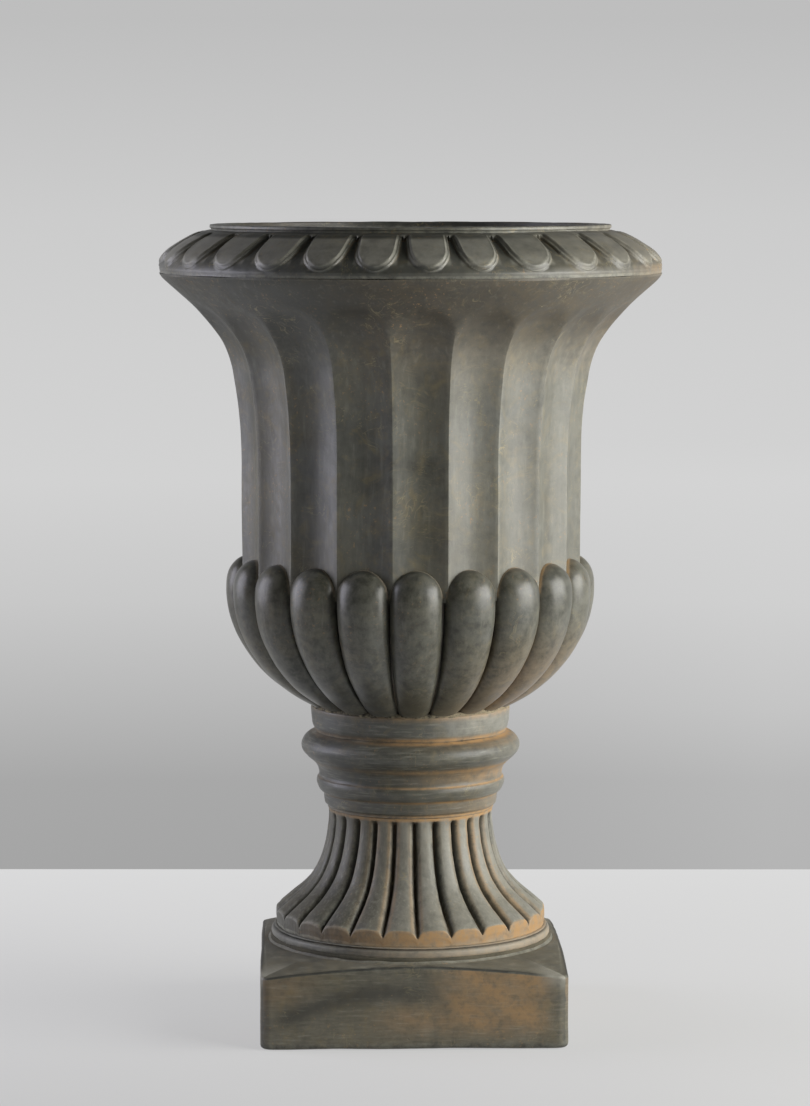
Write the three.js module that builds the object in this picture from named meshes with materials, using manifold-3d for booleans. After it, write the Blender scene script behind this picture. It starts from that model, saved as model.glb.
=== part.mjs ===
// Garden urn on a pedestal: cast-stone rings stacked on setting beds and drawn together by one tie rod.
// Millimetres, +Z up, origin at the middle of the plinth's underside, front towards -Y.
import * as THREE from "three";
import Module from "manifold-3d";

const wasm = await Module();
wasm.setup();

// Joints between the castings
const seatGap = 0.3; // air left at a face that rests on another
const bedThickness = 2.4; // mortar bed in each joint
const bedInset = 5; // how far a bed stays back from the outside
const shaftRadius = 55; // hollow down the middle of the pedestal

// Plinth
const plinthMargin = 4; // from the skirt to the sides
const plinthCornerRadius = 10;
const plinthSeatHeight = 82;
const plinthSeatMargin = 1.5; // round the foot ring
const plinthSkirtWidth = 4;
const plinthSkirtDrop = 2;
const plinthCornerDrop = 12.5;
const plinthFootRound = 4;
const plinthRecessRadius = 85;
const plinthRecessDepth = 40;

// Foot ring
const footRingHeight = 10;
const footRollProud = 3.5;
const footRollHeight = 6;
const footFilletProud = 3; // beyond the socle's band

// Socle with its reeds
const socleHeight = 110;
const socleBandRadius = 130;
const socleBandHeight = 5;
const socleFootProud = 1.5;
const socleFootHeight = 11;
const socleNeckRadius = 79.5;
const socleNeckHeight = 104;
const socleCapProud = 1;
const reedCount = 25;
const reedDepth = 6;
const reedTopHeight = 110;
const reedPhase = 1.3 + 180 / reedCount; // degrees from the front to the middle of a reed

// Knop: band, ring, scotia and torus
const knopHeight = 72.5;
const knopBandProud = 3.7;
const knopBandHeight = 14;
const knopRingStep = 1.3; // from the band to the foot of the ring
const knopRingProud = 5.9;
const knopRingHeight = 17;
const knopScotiaDepth = 2;
const knopScotiaHeight = 14;
const knopTorusStep = 4.1; // from the scotia to the foot of the torus
const knopTorusProud = 12.8;

// Collar
const collarHeight = 22;
const collarWaistProud = 1.9;
const collarSetback = 1.7; // in from the foot of the cup

// Cup with its gadroons
const lobeCount = 20; // the bell has as many flutes
const lobePhase = 0.4; // degrees from the front to the middle of a lobe
const cupShelfHeight = 117;
const lobeProud = 14.2; // beyond the foot of the bell
const cupCrestHeight = 113; // widest place above the cup's foot
const cupCurveHeight = 136; // half height of the ellipse that the lobes follow
const lobeThumbHeight = 28;
const cupFloorThickness = 26;
const cupWellDepth = 120; // half height of the ellipse inside

// Bell with its flutes
const bellHeight = 297;
const bellRadius = 165.4;
const bellTopRadius = 242.8;
const bellWall = 18.4;
const bellTopWall = 44.8;
const fluteDepth = 6.8;
const fluteFadeHeight = 242; // where the flutes begin to run out
const fluteTopHeight = 275;
const lobeBackGap = 0.4; // round the foot of the bell, inside the lobes

// Rim with its tongues
const rimHeight = 37;
const rimProud = 0.7; // beyond the bell
const rimOvoloWidth = 48.5;
const rimFasciaHeight = 6;
const rimLand = 14;
const tongueCount = 28;
const tonguePhase = 2.7;
const tongueRelief = 6;

// Lip ring
const lipHeight = 4.5;
const lipSetback = 1.5;
const lipWidth = 14.5;
const lipRound = 2;

// Tie rod, its nuts and plates
const rodRadius = 8;
const rodEnd = 6; // beyond each nut
const boreGap = 2; // round the rod in the castings
const threadGap = 0.3;
const nutHeight = 13;
const nutRadius = 14;
const anchorLength = 150;
const anchorWidth = 32;
const anchorThickness = 8;
const plateRadius = 25;
const plateThickness = 5;
const sealThickness = 3;

// Drain and its plug
const drainOffset = 40; // from the axis, towards the back
const drainRadius = 9;
const plugTaper = 1.5;
const plugShankLength = 22;
const plugFlangeRadius = 13;
const plugFlangeThickness = 4;
const plugKnobRadius = 6;
const plugKnobHeight = 12;
const plugNeckRadius = 3.5;
const plugNeckHeight = 4;
const overrun = 5; // of a cutter past what it cuts

// How fine the facets are
const plainColumns = 48;
const bedColumns = 20;
const smallColumns = 16;
const lobeColumnShares = [-1, -0.6, -0.2, 0.2, 0.6];
const reedColumnShares = [-1, -0.6, 0, 0.6];
const tongueColumnShares = [-1, -0.8, -0.35, 0.35, 0.8];

// Levels of the stack, each from the one below
const joint = bedThickness + 2 * seatGap;
const footRingFoot = plinthSeatHeight + joint;
const socleFoot = footRingFoot + footRingHeight + joint;
const knopFoot = socleFoot + socleHeight + joint;
const collarFoot = knopFoot + knopHeight + joint;
const cupFoot = collarFoot + collarHeight + joint;
const cupShelf = cupFoot + cupShelfHeight;
const bellFoot = cupShelf + joint;
const rimFoot = bellFoot + bellHeight + joint;
const lipFoot = rimFoot + rimHeight + joint;

// Radii, each from the piece that it meets
const socleFootRadius = socleBandRadius + socleFootProud;
const footFilletRadius = socleBandRadius + footFilletProud;
const footRollRadius = footFilletRadius + footRollProud;
const plinthSeatRadius = footRollRadius + plinthSeatMargin;
const plinthSkirtRadius = plinthSeatRadius + plinthSkirtWidth;
const plinthHalfWidth = plinthSkirtRadius + plinthMargin;
const socleCapRadius = socleNeckRadius + socleCapProud;
const knopBandRadius = socleCapRadius + knopBandProud;
const knopRingFoot = knopBandRadius + knopRingStep;
const knopRingRadius = knopRingFoot + knopRingProud;
const knopScotiaRadius = knopRingRadius - knopScotiaDepth;
const knopTorusFoot = knopScotiaRadius + knopTorusStep;
const knopTorusRadius = knopTorusFoot + knopTorusProud;
const cupCrestRadius = bellRadius + lobeProud;
const cupFootRadius = cupCrestRadius * Math.sqrt(1 - (cupCrestHeight / cupCurveHeight) ** 2);
const collarFootRadius = knopTorusFoot;
const collarTopRadius = cupFootRadius - collarSetback;
const bellInnerRadius = bellRadius - bellWall;
const bellInnerTopRadius = bellTopRadius - bellTopWall;
const rimRadius = bellTopRadius + rimProud;
const rimTopRadius = rimRadius - rimOvoloWidth;
const rimInnerRadius = rimTopRadius - rimLand;
const lipRadius = rimTopRadius - lipSetback;
const lipInnerRadius = lipRadius - lipWidth;

const urn = new THREE.Group();
urn.name = "urn";

const finish = {
  stone: { color: 0x4b4b45, roughness: 0.62, metalness: 0.05 },
  stonePale: { color: 0x66655c, roughness: 0.6, metalness: 0.05 },
  mortar: { color: 0x8a6a48, roughness: 0.9, metalness: 0 },
  steel: { color: 0x8f9296, roughness: 0.4, metalness: 0.9 },
  rubber: { color: 0x1f1f1f, roughness: 0.8, metalness: 0 },
};

function addPiece(name, geometry, look) {
  const mesh = new THREE.Mesh(geometry, new THREE.MeshStandardMaterial(look));
  mesh.name = name;
  urn.add(mesh);
  return mesh;
}

// A closed body from loops of points that stand side by side round the axis.
// Points that fall together become one, and faces without area are left out.
function bodyFromLoops(loops) {
  const places = [];
  const known = new Map();
  const numberOf = (p) => {
    const key = p.map((v) => Math.round(v * 1e4)).join(",");
    if (!known.has(key)) {
      known.set(key, places.length / 3);
      places.push(...p);
    }
    return known.get(key);
  };
  const numbers = loops.map((loop) => loop.map(numberOf));
  const faces = [];
  const addFace = (a, b, c) => {
    if (a !== b && b !== c && c !== a) faces.push(a, b, c);
  };
  numbers.forEach((here, i) => {
    const next = numbers[(i + 1) % numbers.length];
    here.forEach((a, k) => {
      const m = (k + 1) % here.length;
      addFace(a, next[k], next[m]);
      addFace(a, next[m], here[m]);
    });
  });
  const geometry = new THREE.BufferGeometry();
  geometry.setAttribute("position", new THREE.Float32BufferAttribute(places, 3));
  geometry.setIndex(faces);
  return geometry;
}

// Columns of one ornament repeated round the axis: u runs from -1 to 1 across each.
function ornamentColumns(count, phase, shares) {
  const columns = [];
  const pitch = (2 * Math.PI) / count;
  for (let i = 0; i < count; i++) {
    for (const u of shares) {
      columns.push({ angle: THREE.MathUtils.degToRad(phase - 90) + pitch * (i + u / 2), u });
    }
  }
  return columns;
}

function plainRing(count) {
  return ornamentColumns(count, 0, [0]);
}

// outlineAt(u) gives the section as [radius, height] points, outside first, going up.
function turnedBody(columns, outlineAt) {
  const loops = columns.map(({ angle, u }) =>
    outlineAt(u).map(([r, z]) => [r * Math.cos(angle), r * Math.sin(angle), z]),
  );
  return bodyFromLoops(loops);
}

// Half-round moulding from one height to another
function roll(footRadius, crestRadius, low, high, steps) {
  const points = [];
  for (let i = 0; i <= steps; i++) {
    const turn = Math.PI * (i / steps - 1 / 2);
    const radius = footRadius + (crestRadius - footRadius) * Math.cos(turn);
    points.push([radius, (low + high) / 2 + ((high - low) / 2) * Math.sin(turn)]);
  }
  return points;
}

// A curve through shares of a rise and of a widening
function curveThrough(shares, from, to, steps) {
  const spline = new THREE.SplineCurve(shares.map(([rise, spread]) => new THREE.Vector2(rise, spread)));
  const [fromRadius, fromHeight] = from;
  const [toRadius, toHeight] = to;
  return spline
    .getPoints(steps)
    .map((p) => [fromRadius + (toRadius - fromRadius) * p.y, fromHeight + (toHeight - fromHeight) * p.x]);
}

const smooth = (low, high, value) => THREE.MathUtils.smoothstep(value, low, high);

// Ring of rectangular section
function flatRing(inner, outer, low, high, count) {
  return turnedBody(plainRing(count), () => [
    [outer, low],
    [outer, high],
    [inner, high],
    [inner, low],
  ]);
}

function hexNut(low) {
  const section = new THREE.Shape();
  for (let i = 0; i < 6; i++) {
    const angle = (Math.PI / 3) * i;
    section[i ? "lineTo" : "moveTo"](nutRadius * Math.cos(angle), nutRadius * Math.sin(angle));
  }
  section.closePath();
  section.holes.push(new THREE.Path().absarc(0, 0, rodRadius + threadGap, 0, 2 * Math.PI, true));
  const nut = new THREE.ExtrudeGeometry(section, {
    depth: nutHeight,
    bevelEnabled: false,
    curveSegments: smallColumns,
  });
  nut.translate(0, 0, low);
  return nut;
}

// Plinth: a square block with a weathered top, a round shaft and a recess below
function plinthOutline() {
  const sideSteps = 6;
  const cornerSteps = 3;
  const reach = plinthHalfWidth - plinthCornerRadius;
  const points = [];
  for (let side = 0; side < 4; side++) {
    const turn = (Math.PI / 2) * side;
    const local = [];
    for (let i = 1; i < sideSteps; i++) {
      local.push([plinthHalfWidth, reach * ((2 * i) / sideSteps - 1)]);
    }
    for (let i = 0; i <= cornerSteps; i++) {
      const bend = ((Math.PI / 2) * i) / cornerSteps;
      local.push([reach + plinthCornerRadius * Math.cos(bend), reach + plinthCornerRadius * Math.sin(bend)]);
    }
    for (const [x, y] of local) {
      points.push([x * Math.cos(turn) - y * Math.sin(turn), x * Math.sin(turn) + y * Math.cos(turn)]);
    }
  }
  return points;
}

function plinthBody() {
  const diagonal = Math.SQRT2 * (plinthHalfWidth - plinthCornerRadius) + plinthCornerRadius;
  const skirtHeight = plinthSeatHeight - plinthSkirtDrop;
  const fall = (plinthCornerDrop - plinthSkirtDrop) / (diagonal - plinthSkirtRadius);
  const loops = plinthOutline().map(([x, y]) => {
    const reach = Math.hypot(x, y);
    const at = (radius, z) => [(x / reach) * radius, (y / reach) * radius, z];
    return [
      at(reach - plinthFootRound, 0),
      at(reach, plinthFootRound),
      at(reach, skirtHeight - fall * (reach - plinthSkirtRadius)),
      at(plinthSkirtRadius, skirtHeight),
      at(plinthSeatRadius, plinthSeatHeight),
      at(shaftRadius, plinthSeatHeight),
      at(shaftRadius, plinthRecessDepth),
      at(plinthRecessRadius, plinthRecessDepth),
      at(plinthRecessRadius, 0),
    ];
  });
  return bodyFromLoops(loops);
}
addPiece("plinth", plinthBody(), finish.stone);

// Foot ring: a roll below a fillet
addPiece(
  "foot_ring",
  turnedBody(plainRing(plainColumns), () => [
    ...roll(footFilletRadius, footRollRadius, footRingFoot, footRingFoot + footRollHeight, 4),
    [footFilletRadius, footRingFoot + footRingHeight],
    [shaftRadius, footRingFoot + footRingHeight],
    [shaftRadius, footRingFoot],
  ]),
  finish.stonePale,
);

// Socle: reeds divided by sharp grooves on a hollow flare
const socleFlareShares = [
  [0, 0],
  [0.045, 0.027],
  [0.11, 0.106],
  [0.17, 0.261],
  [0.3, 0.557],
  [0.43, 0.737],
  [0.56, 0.836],
  [0.75, 0.942],
  [1, 1],
];

function socleOutline(u) {
  const low = socleFoot;
  const flare = curveThrough(
    socleFlareShares,
    [socleFootRadius, low + socleFootHeight],
    [socleNeckRadius, low + socleNeckHeight],
    8,
  );
  const grooved = flare.map(([r, z]) => {
    const height = z - low;
    const fade = smooth(socleFootHeight - reedDepth, socleFootHeight + reedDepth, height);
    const out = 1 - smooth(reedTopHeight - reedDepth, reedTopHeight, height);
    return [r - reedDepth * (r / socleFootRadius) * fade * out * u ** 4, z];
  });
  return [
    [socleBandRadius, low],
    [socleBandRadius, low + socleBandHeight],
    ...grooved,
    [socleCapRadius, low + socleHeight],
    [shaftRadius, low + socleHeight],
    [shaftRadius, low],
  ];
}
addPiece(
  "socle",
  turnedBody(ornamentColumns(reedCount, reedPhase, reedColumnShares), socleOutline),
  finish.stonePale,
);

// Knop, turned in one piece from the band to the torus
function knopOutline() {
  const ringFoot = knopFoot + knopBandHeight;
  const scotiaFoot = ringFoot + knopRingHeight;
  const torusFoot = scotiaFoot + knopScotiaHeight;
  return [
    ...roll(socleCapRadius, knopBandRadius, knopFoot, ringFoot, 3),
    ...roll(knopRingFoot, knopRingRadius, ringFoot, scotiaFoot, 4).slice(0, -1),
    [knopScotiaRadius, scotiaFoot],
    ...roll(knopTorusFoot, knopTorusRadius, torusFoot, knopFoot + knopHeight, 6),
    [shaftRadius, knopFoot + knopHeight],
    [shaftRadius, knopFoot],
  ];
}
addPiece("knop", turnedBody(plainRing(plainColumns), knopOutline), finish.stonePale);

// Collar under the cup
addPiece(
  "collar",
  turnedBody(plainRing(plainColumns), () => [
    [collarFootRadius, collarFoot],
    [collarFootRadius + collarWaistProud, collarFoot + collarHeight / 4],
    [collarTopRadius, collarFoot + (collarHeight * 3) / 4],
    [collarTopRadius, collarFoot + collarHeight],
    [shaftRadius, collarFoot + collarHeight],
    [shaftRadius, collarFoot],
  ]),
  finish.stonePale,
);

// Wall of the bell at its foot, which the lobes' backs follow
const fluteHollow = (u) => fluteDepth * (1 - u * u);
const lobeBack = (u) => bellRadius + lobeBackGap - fluteHollow(u);
const lobeBump = (u, v) => Math.sqrt(Math.max(0, 1 - u * u - v * v));

// Cup: lobes that run up past the shelf as thumbs in front of the bell
const cupRingShares = [0, 0.07, 0.17, 0.31, 0.5, 0.75, 1];
const thumbRingShares = [0.5, 0.85];
const cupWellShares = [1, 0.66, 0.3, 0];

function cupOutline(u) {
  const crestHeight = cupFoot + cupCrestHeight;
  const points = cupRingShares.map((share) => {
    const z = cupFoot + cupShelfHeight * share;
    const round = Math.sqrt(1 - ((crestHeight - z) / cupCurveHeight) ** 2);
    const back = lobeBack(u) * round;
    return [back + (cupCrestRadius * round - back) * lobeBump(u, 0), z];
  });
  const top = Math.sqrt(1 - u * u);
  for (const share of thumbRingShares) {
    const rise = share * top;
    const back = lobeBack(u);
    points.push([back + (cupCrestRadius - back) * lobeBump(u, rise), cupShelf + lobeThumbHeight * rise]);
  }
  points.push([lobeBack(u), cupShelf + lobeThumbHeight * top]);
  points.push([lobeBack(u), cupShelf]);
  const floor = cupFoot + cupFloorThickness;
  for (const share of cupWellShares) {
    const z = floor + (cupShelf - floor) * share;
    points.push([bellInnerRadius * Math.sqrt(1 - ((cupShelf - z) / cupWellDepth) ** 2), z]);
  }
  points.push([rodRadius + boreGap, floor]);
  points.push([rodRadius + boreGap, cupFoot]);
  return points;
}

function toManifold(geometry) {
  return new wasm.Manifold(
    new wasm.Mesh({
      numProp: 3,
      vertProperties: new Float32Array(geometry.attributes.position.array),
      triVerts: new Uint32Array(geometry.index.array),
    }),
  );
}

function fromManifold(solid) {
  const mesh = solid.getMesh();
  const geometry = new THREE.BufferGeometry();
  geometry.setAttribute("position", new THREE.BufferAttribute(mesh.vertProperties, 3));
  geometry.setIndex(new THREE.BufferAttribute(mesh.triVerts, 1));
  return geometry;
}

// Straight round cutter that stands at the drain
function drainCutter(low, high) {
  const outline = [
    [0, low],
    [drainRadius, low],
    [drainRadius, high],
    [0, high],
  ];
  const cutter = turnedBody(plainRing(smallColumns), () => outline);
  cutter.translate(0, drainOffset, 0);
  return cutter;
}

const cupColumns = ornamentColumns(lobeCount, lobePhase, lobeColumnShares);
const cupFloor = cupFoot + cupFloorThickness;
const drilledCup = toManifold(turnedBody(cupColumns, cupOutline)).subtract(
  toManifold(drainCutter(cupFoot - overrun, cupFloor + overrun)),
);
addPiece("cup", fromManifold(drilledCup), finish.stone);

// Bell: flutes meet at sharp arrises and run out below the rim
const bellFlareShares = [
  [0, 0],
  [0.455, 0.003],
  [0.6, 0.048],
  [0.69, 0.108],
  [0.76, 0.2],
  [0.82, 0.342],
  [0.87, 0.51],
  [0.935, 0.77],
  [1, 1],
];
const bellInnerShares = [
  [1, 1],
  [0.9, 0.7],
  [0.8, 0.36],
  [0.7, 0.13],
  [0.56, 0.02],
  [0, 0],
];

function bellOutline(u) {
  const points = bellFlareShares.map(([share, spread]) => {
    const radius = bellRadius + (bellTopRadius - bellRadius) * spread;
    const fade = 1 - smooth(fluteFadeHeight, fluteTopHeight, bellHeight * share);
    return [radius - fluteHollow(u) * fade, bellFoot + bellHeight * share];
  });
  for (const [share, spread] of bellInnerShares) {
    const radius = bellInnerRadius + (bellInnerTopRadius - bellInnerRadius) * spread;
    points.push([radius, bellFoot + bellHeight * share]);
  }
  return points;
}
addPiece("bell", turnedBody(cupColumns, bellOutline), finish.stone);

// Rim: a quarter-round ovolo that carries tongues pointing down
const rimSteps = 6;
const tongueFootShare = 0.16; // of the ovolo's turn, where the tongues begin
const tongueRoundShare = 0.3;
const tongueWidthShare = 0.9;
const tongueEdgeShare = 0.12;
const tongueSinkShare = 0.3;
const rimShoulderShare = 0.18; // of the ovolo's rise, kept for its last stretch below the lip

function tongueLift(u, turnShare) {
  const up = Math.min(1, (turnShare - tongueFootShare) / tongueRoundShare);
  if (up <= 0) return 0;
  const halfWidth = tongueWidthShare * Math.sqrt(1 - (1 - up) ** 2);
  return smooth(0, tongueEdgeShare, halfWidth - Math.abs(u));
}

function rimOutline(u) {
  const springing = rimFoot + rimFasciaHeight;
  const width = rimRadius - rimTopRadius;
  const height = rimHeight - rimFasciaHeight;
  const points = [[rimRadius - tongueRelief / 2, rimFoot]];
  for (let i = 0; i < rimSteps; i++) {
    const turnShare = i / rimSteps;
    const turn = (Math.PI / 2) * turnShare;
    const sink = tongueRelief * (1 - tongueLift(u, turnShare)) * smooth(0, tongueSinkShare, turnShare);
    const rise = Math.sin(turn);
    const lift = (1 - rimShoulderShare) * rise + rimShoulderShare * rise ** 6;
    points.push([rimTopRadius + (width - sink) * Math.cos(turn), springing + height * lift - sink * rise]);
  }
  points.push([rimTopRadius, rimFoot + rimHeight]);
  points.push([rimInnerRadius, rimFoot + rimHeight]);
  points.push([bellInnerTopRadius, rimFoot]);
  return points;
}
addPiece(
  "rim",
  turnedBody(ornamentColumns(tongueCount, tonguePhase, tongueColumnShares), rimOutline),
  finish.stone,
);

// Lip ring round the mouth, with rounded upper edges
addPiece(
  "lip_ring",
  turnedBody(plainRing(plainColumns), () => [
    [lipRadius, lipFoot],
    [lipRadius, lipFoot + lipHeight - lipRound],
    [lipRadius - lipRound, lipFoot + lipHeight],
    [lipInnerRadius + lipRound, lipFoot + lipHeight],
    [lipInnerRadius, lipFoot + lipHeight - lipRound],
    [lipInnerRadius, lipFoot],
  ]),
  finish.stone,
);

// Setting beds, one in each joint
const beds = [
  ["plinth_bed", shaftRadius, footFilletRadius, footRingFoot],
  ["socle_bed", shaftRadius, socleBandRadius, socleFoot],
  ["knop_bed", shaftRadius, socleNeckRadius, knopFoot],
  ["collar_bed", shaftRadius, collarFootRadius, collarFoot],
  ["cup_bed", shaftRadius, collarFootRadius, cupFoot],
  ["bell_bed", bellInnerRadius, bellRadius - fluteDepth, bellFoot],
  ["rim_bed", bellInnerTopRadius, bellTopRadius, rimFoot],
  ["lip_bed", rimInnerRadius, lipRadius, lipFoot],
];
for (const [name, inner, outer, above] of beds) {
  const top = above - seatGap;
  const bed = flatRing(inner + seatGap, outer - bedInset, top - bedThickness, top, bedColumns);
  addPiece(name, bed, finish.mortar);
}

// Anchor bar across the shaft, against the roof of the plinth's recess
const anchorTop = plinthRecessDepth - seatGap;
const anchorShape = new THREE.Shape();
anchorShape.moveTo(-anchorLength / 2, -anchorWidth / 2);
anchorShape.lineTo(anchorLength / 2, -anchorWidth / 2);
anchorShape.lineTo(anchorLength / 2, anchorWidth / 2);
anchorShape.lineTo(-anchorLength / 2, anchorWidth / 2);
anchorShape.closePath();
anchorShape.holes.push(new THREE.Path().absarc(0, 0, rodRadius + threadGap, 0, 2 * Math.PI, true));
const anchorBar = new THREE.ExtrudeGeometry(anchorShape, {
  depth: anchorThickness,
  bevelEnabled: false,
  curveSegments: smallColumns,
});
anchorBar.translate(0, 0, anchorTop - anchorThickness);
addPiece("anchor_bar", anchorBar, finish.steel);

const anchorNutFoot = anchorTop - anchorThickness - seatGap - nutHeight;
addPiece("anchor_nut", hexNut(anchorNutFoot), finish.steel);

// Rubber seal, plate and nut on the cup's floor
const sealFoot = cupFloor + seatGap;
const plateFoot = sealFoot + sealThickness + seatGap;
const bowlNutFoot = plateFoot + plateThickness + seatGap;
const ringBore = rodRadius + threadGap;
const seal = flatRing(ringBore, plateRadius, sealFoot, sealFoot + sealThickness, smallColumns);
const plate = flatRing(ringBore, plateRadius, plateFoot, plateFoot + plateThickness, smallColumns);
addPiece("seal_washer", seal, finish.rubber);
addPiece("bowl_plate", plate, finish.steel);
addPiece("bowl_nut", hexNut(bowlNutFoot), finish.steel);

// Tie rod from below the anchor nut to above the bowl nut
const rodLow = anchorNutFoot - rodEnd;
const rodLength = bowlNutFoot + nutHeight + rodEnd - rodLow;
const rod = new THREE.CylinderGeometry(rodRadius, rodRadius, rodLength, smallColumns);
rod.rotateX(Math.PI / 2);
rod.translate(0, 0, rodLow + rodLength / 2);
addPiece("tie_rod", rod, finish.steel);

// Drain plug, pushed in from above and lifted out by its knob
const plugSeat = cupFloor + seatGap;
const plugTop = plugSeat + plugFlangeThickness;
const plugShank = drainRadius - seatGap;
const plug = turnedBody(plainRing(smallColumns), () => [
  [0, plugSeat - plugShankLength],
  [plugShank - plugTaper, plugSeat - plugShankLength],
  [plugShank, plugSeat],
  [plugFlangeRadius, plugSeat],
  [plugFlangeRadius, plugTop],
  [plugNeckRadius, plugTop],
  [plugNeckRadius, plugTop + plugNeckHeight],
  [plugKnobRadius, plugTop + plugNeckHeight],
  [plugKnobRadius, plugTop + plugKnobHeight],
  [0, plugTop + plugKnobHeight],
]);
plug.translate(0, drainOffset, 0);
addPiece("drain_plug", plug, finish.rubber);

export default urn;
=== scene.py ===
# Garden urn in patinated cast stone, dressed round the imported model. Metres; section sizes are in mm.
import math

import bmesh
import bpy
import numpy as np
from mathutils import Euler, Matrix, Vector, noise


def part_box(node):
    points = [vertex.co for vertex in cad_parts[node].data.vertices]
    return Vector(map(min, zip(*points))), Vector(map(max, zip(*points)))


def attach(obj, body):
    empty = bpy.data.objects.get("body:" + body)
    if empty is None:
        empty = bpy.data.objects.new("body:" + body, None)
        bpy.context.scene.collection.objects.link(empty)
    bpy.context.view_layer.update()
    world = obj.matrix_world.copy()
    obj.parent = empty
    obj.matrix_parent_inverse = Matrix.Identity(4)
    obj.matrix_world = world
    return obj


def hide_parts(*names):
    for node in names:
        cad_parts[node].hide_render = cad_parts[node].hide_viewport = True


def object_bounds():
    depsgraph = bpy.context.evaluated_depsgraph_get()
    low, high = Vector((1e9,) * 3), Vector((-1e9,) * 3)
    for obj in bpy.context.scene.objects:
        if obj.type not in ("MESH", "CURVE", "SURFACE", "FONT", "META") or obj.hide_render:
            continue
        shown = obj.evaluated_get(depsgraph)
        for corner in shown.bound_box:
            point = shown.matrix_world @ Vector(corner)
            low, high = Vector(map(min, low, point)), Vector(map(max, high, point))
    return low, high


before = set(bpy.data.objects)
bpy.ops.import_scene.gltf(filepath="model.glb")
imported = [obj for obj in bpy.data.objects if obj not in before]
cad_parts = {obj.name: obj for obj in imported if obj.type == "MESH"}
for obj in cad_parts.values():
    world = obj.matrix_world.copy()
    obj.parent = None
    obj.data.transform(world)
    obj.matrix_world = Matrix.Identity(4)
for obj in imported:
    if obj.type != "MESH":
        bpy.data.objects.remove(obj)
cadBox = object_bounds()
mm = 0.001
joined = 0.02 * mm  # points nearer than this become one
scene = bpy.context.scene
print("frame loaded:", len(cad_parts), "nodes")


# Colours are written as sRGB hex and turned linear here
def hexColour(code, alpha=1.0):
    parts = [int(code[i:i + 2], 16) / 255 for i in (1, 3, 5)]
    linear = [c / 12.92 if c <= 0.04045 else ((c + 0.055) / 1.055) ** 2.4 for c in parts]
    return (*linear, alpha)


# Adds a node: its inputs, in order or by name, are values or the nodes and sockets that feed them
def addNode(tree, kind, inputs=(), **settings):
    node = tree.nodes.new(kind)
    for name, value in settings.items():
        setattr(node, name, value)
    for key, value in inputs.items() if isinstance(inputs, dict) else enumerate(inputs):
        source = value.outputs[0] if isinstance(value, bpy.types.Node) else value
        if isinstance(source, bpy.types.NodeSocket):
            tree.links.new(source, node.inputs[key])
        else:
            node.inputs[key].default_value = value
    return node


# A new material, its empty tree, and the place of each point on its object
def newMaterial(name):
    material = bpy.data.materials.new(name)
    material.use_nodes = True
    tree = material.node_tree
    tree.nodes.clear()
    return material, tree, addNode(tree, "ShaderNodeTexCoord").outputs["Object"]


# Camera: a long lens a little above the rim and a touch left of the front, tilted down
camera = {
    "distance": 3.723,  # from the urn's axis
    "azimuth": -1.6,  # degrees from the front, positive to the right
    "eye": 0.829,  # above the floor
    "pitch": 5.7,  # degrees down
    "pan": 0.082,
    "lens": 125.3,
    "sensor": 36.0,
}
cameraData = bpy.data.cameras.new("camera")
cameraData.sensor_fit = "AUTO"
cameraData.sensor_width = camera["sensor"]
cameraData.lens = camera["lens"]
cameraObject = bpy.data.objects.new("camera", cameraData)
cameraTurn = math.radians(camera["azimuth"])
cameraObject.location = (
    camera["distance"] * math.sin(cameraTurn), -camera["distance"] * math.cos(cameraTurn), camera["eye"])
cameraObject.rotation_euler = Euler((
    math.radians(90 - camera["pitch"]), 0, cameraTurn + math.radians(camera["pan"])))
scene.collection.objects.link(cameraObject)
scene.camera = cameraObject
scene.view_settings.view_transform = "Standard"

# Two large softboxes: a stronger one to the right of the front, and a cool one to the left
# Azimuth is from the front, positive to the right
lights = {
    "aim": (0, 0, 0.42),
    "boxes": [
        {"name": "rightBox", "azimuth": 68, "elevation": 13, "distance": 1.8, "size": (1.7, 1.2),
         "watts": 50, "colour": "#fffefa"},
        {"name": "leftBox", "azimuth": -97, "elevation": 13, "distance": 1.9, "size": (1.4, 1.3),
         "watts": 22, "colour": "#f1f0ff"},
    ],
}
for box in lights["boxes"]:
    lamp = bpy.data.lights.new(box["name"], "AREA")
    lamp.shape = "RECTANGLE"
    lamp.size, lamp.size_y = box["size"]
    lamp.energy = box["watts"]
    lamp.color = hexColour(box["colour"])[:3]
    azimuth, elevation = math.radians(box["azimuth"]), math.radians(box["elevation"])
    away = Vector((
        math.sin(azimuth) * math.cos(elevation),
        -math.cos(azimuth) * math.cos(elevation),
        math.sin(elevation),
    ))
    lampObject = bpy.data.objects.new(box["name"], lamp)
    lampObject.location = Vector(lights["aim"]) + away * box["distance"]
    lampObject.rotation_euler = away.to_track_quat("Z", "Y").to_euler()
    scene.collection.objects.link(lampObject)

# World: the wall's greys by height above the horizon, all round for the camera
# The light comes from the wall behind, and little from the dark room in front
wall = {
    "room": "#3c3c3a",
    "span": (-0.185, 0.045),  # sine of the elevation at the bottom and the top of the picture
    "greys": [(0.0, "#a4a4a4"), (0.12, "#a8a8a8"), (0.21, "#b8b8b8"), (0.32, "#c8c8c8"),
              (0.455, "#d2d2d2"), (0.6, "#d0d0d0"), (0.75, "#cccccc"), (0.97, "#bebebe")],
    "paler": 0.085,  # added low down on the right
    "right": (0.02, 0.12),  # part of the direction to the right, where it begins and is full
    "low": (0.5, 0.2),  # share of the span
    "behind": (-0.1, 0.5),  # part of the direction to the back, where the wall begins to light the urn
    "below": (0.55, 0.15),  # and part upwards
}
world = bpy.data.worlds.new("studio")
scene.world = world
world.use_nodes = True
worldTree = world.node_tree
worldTree.nodes.clear()
direction = addNode(worldTree, "ShaderNodeTexCoord")
parts = addNode(worldTree, "ShaderNodeSeparateXYZ", [direction.outputs["Generated"]])
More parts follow.
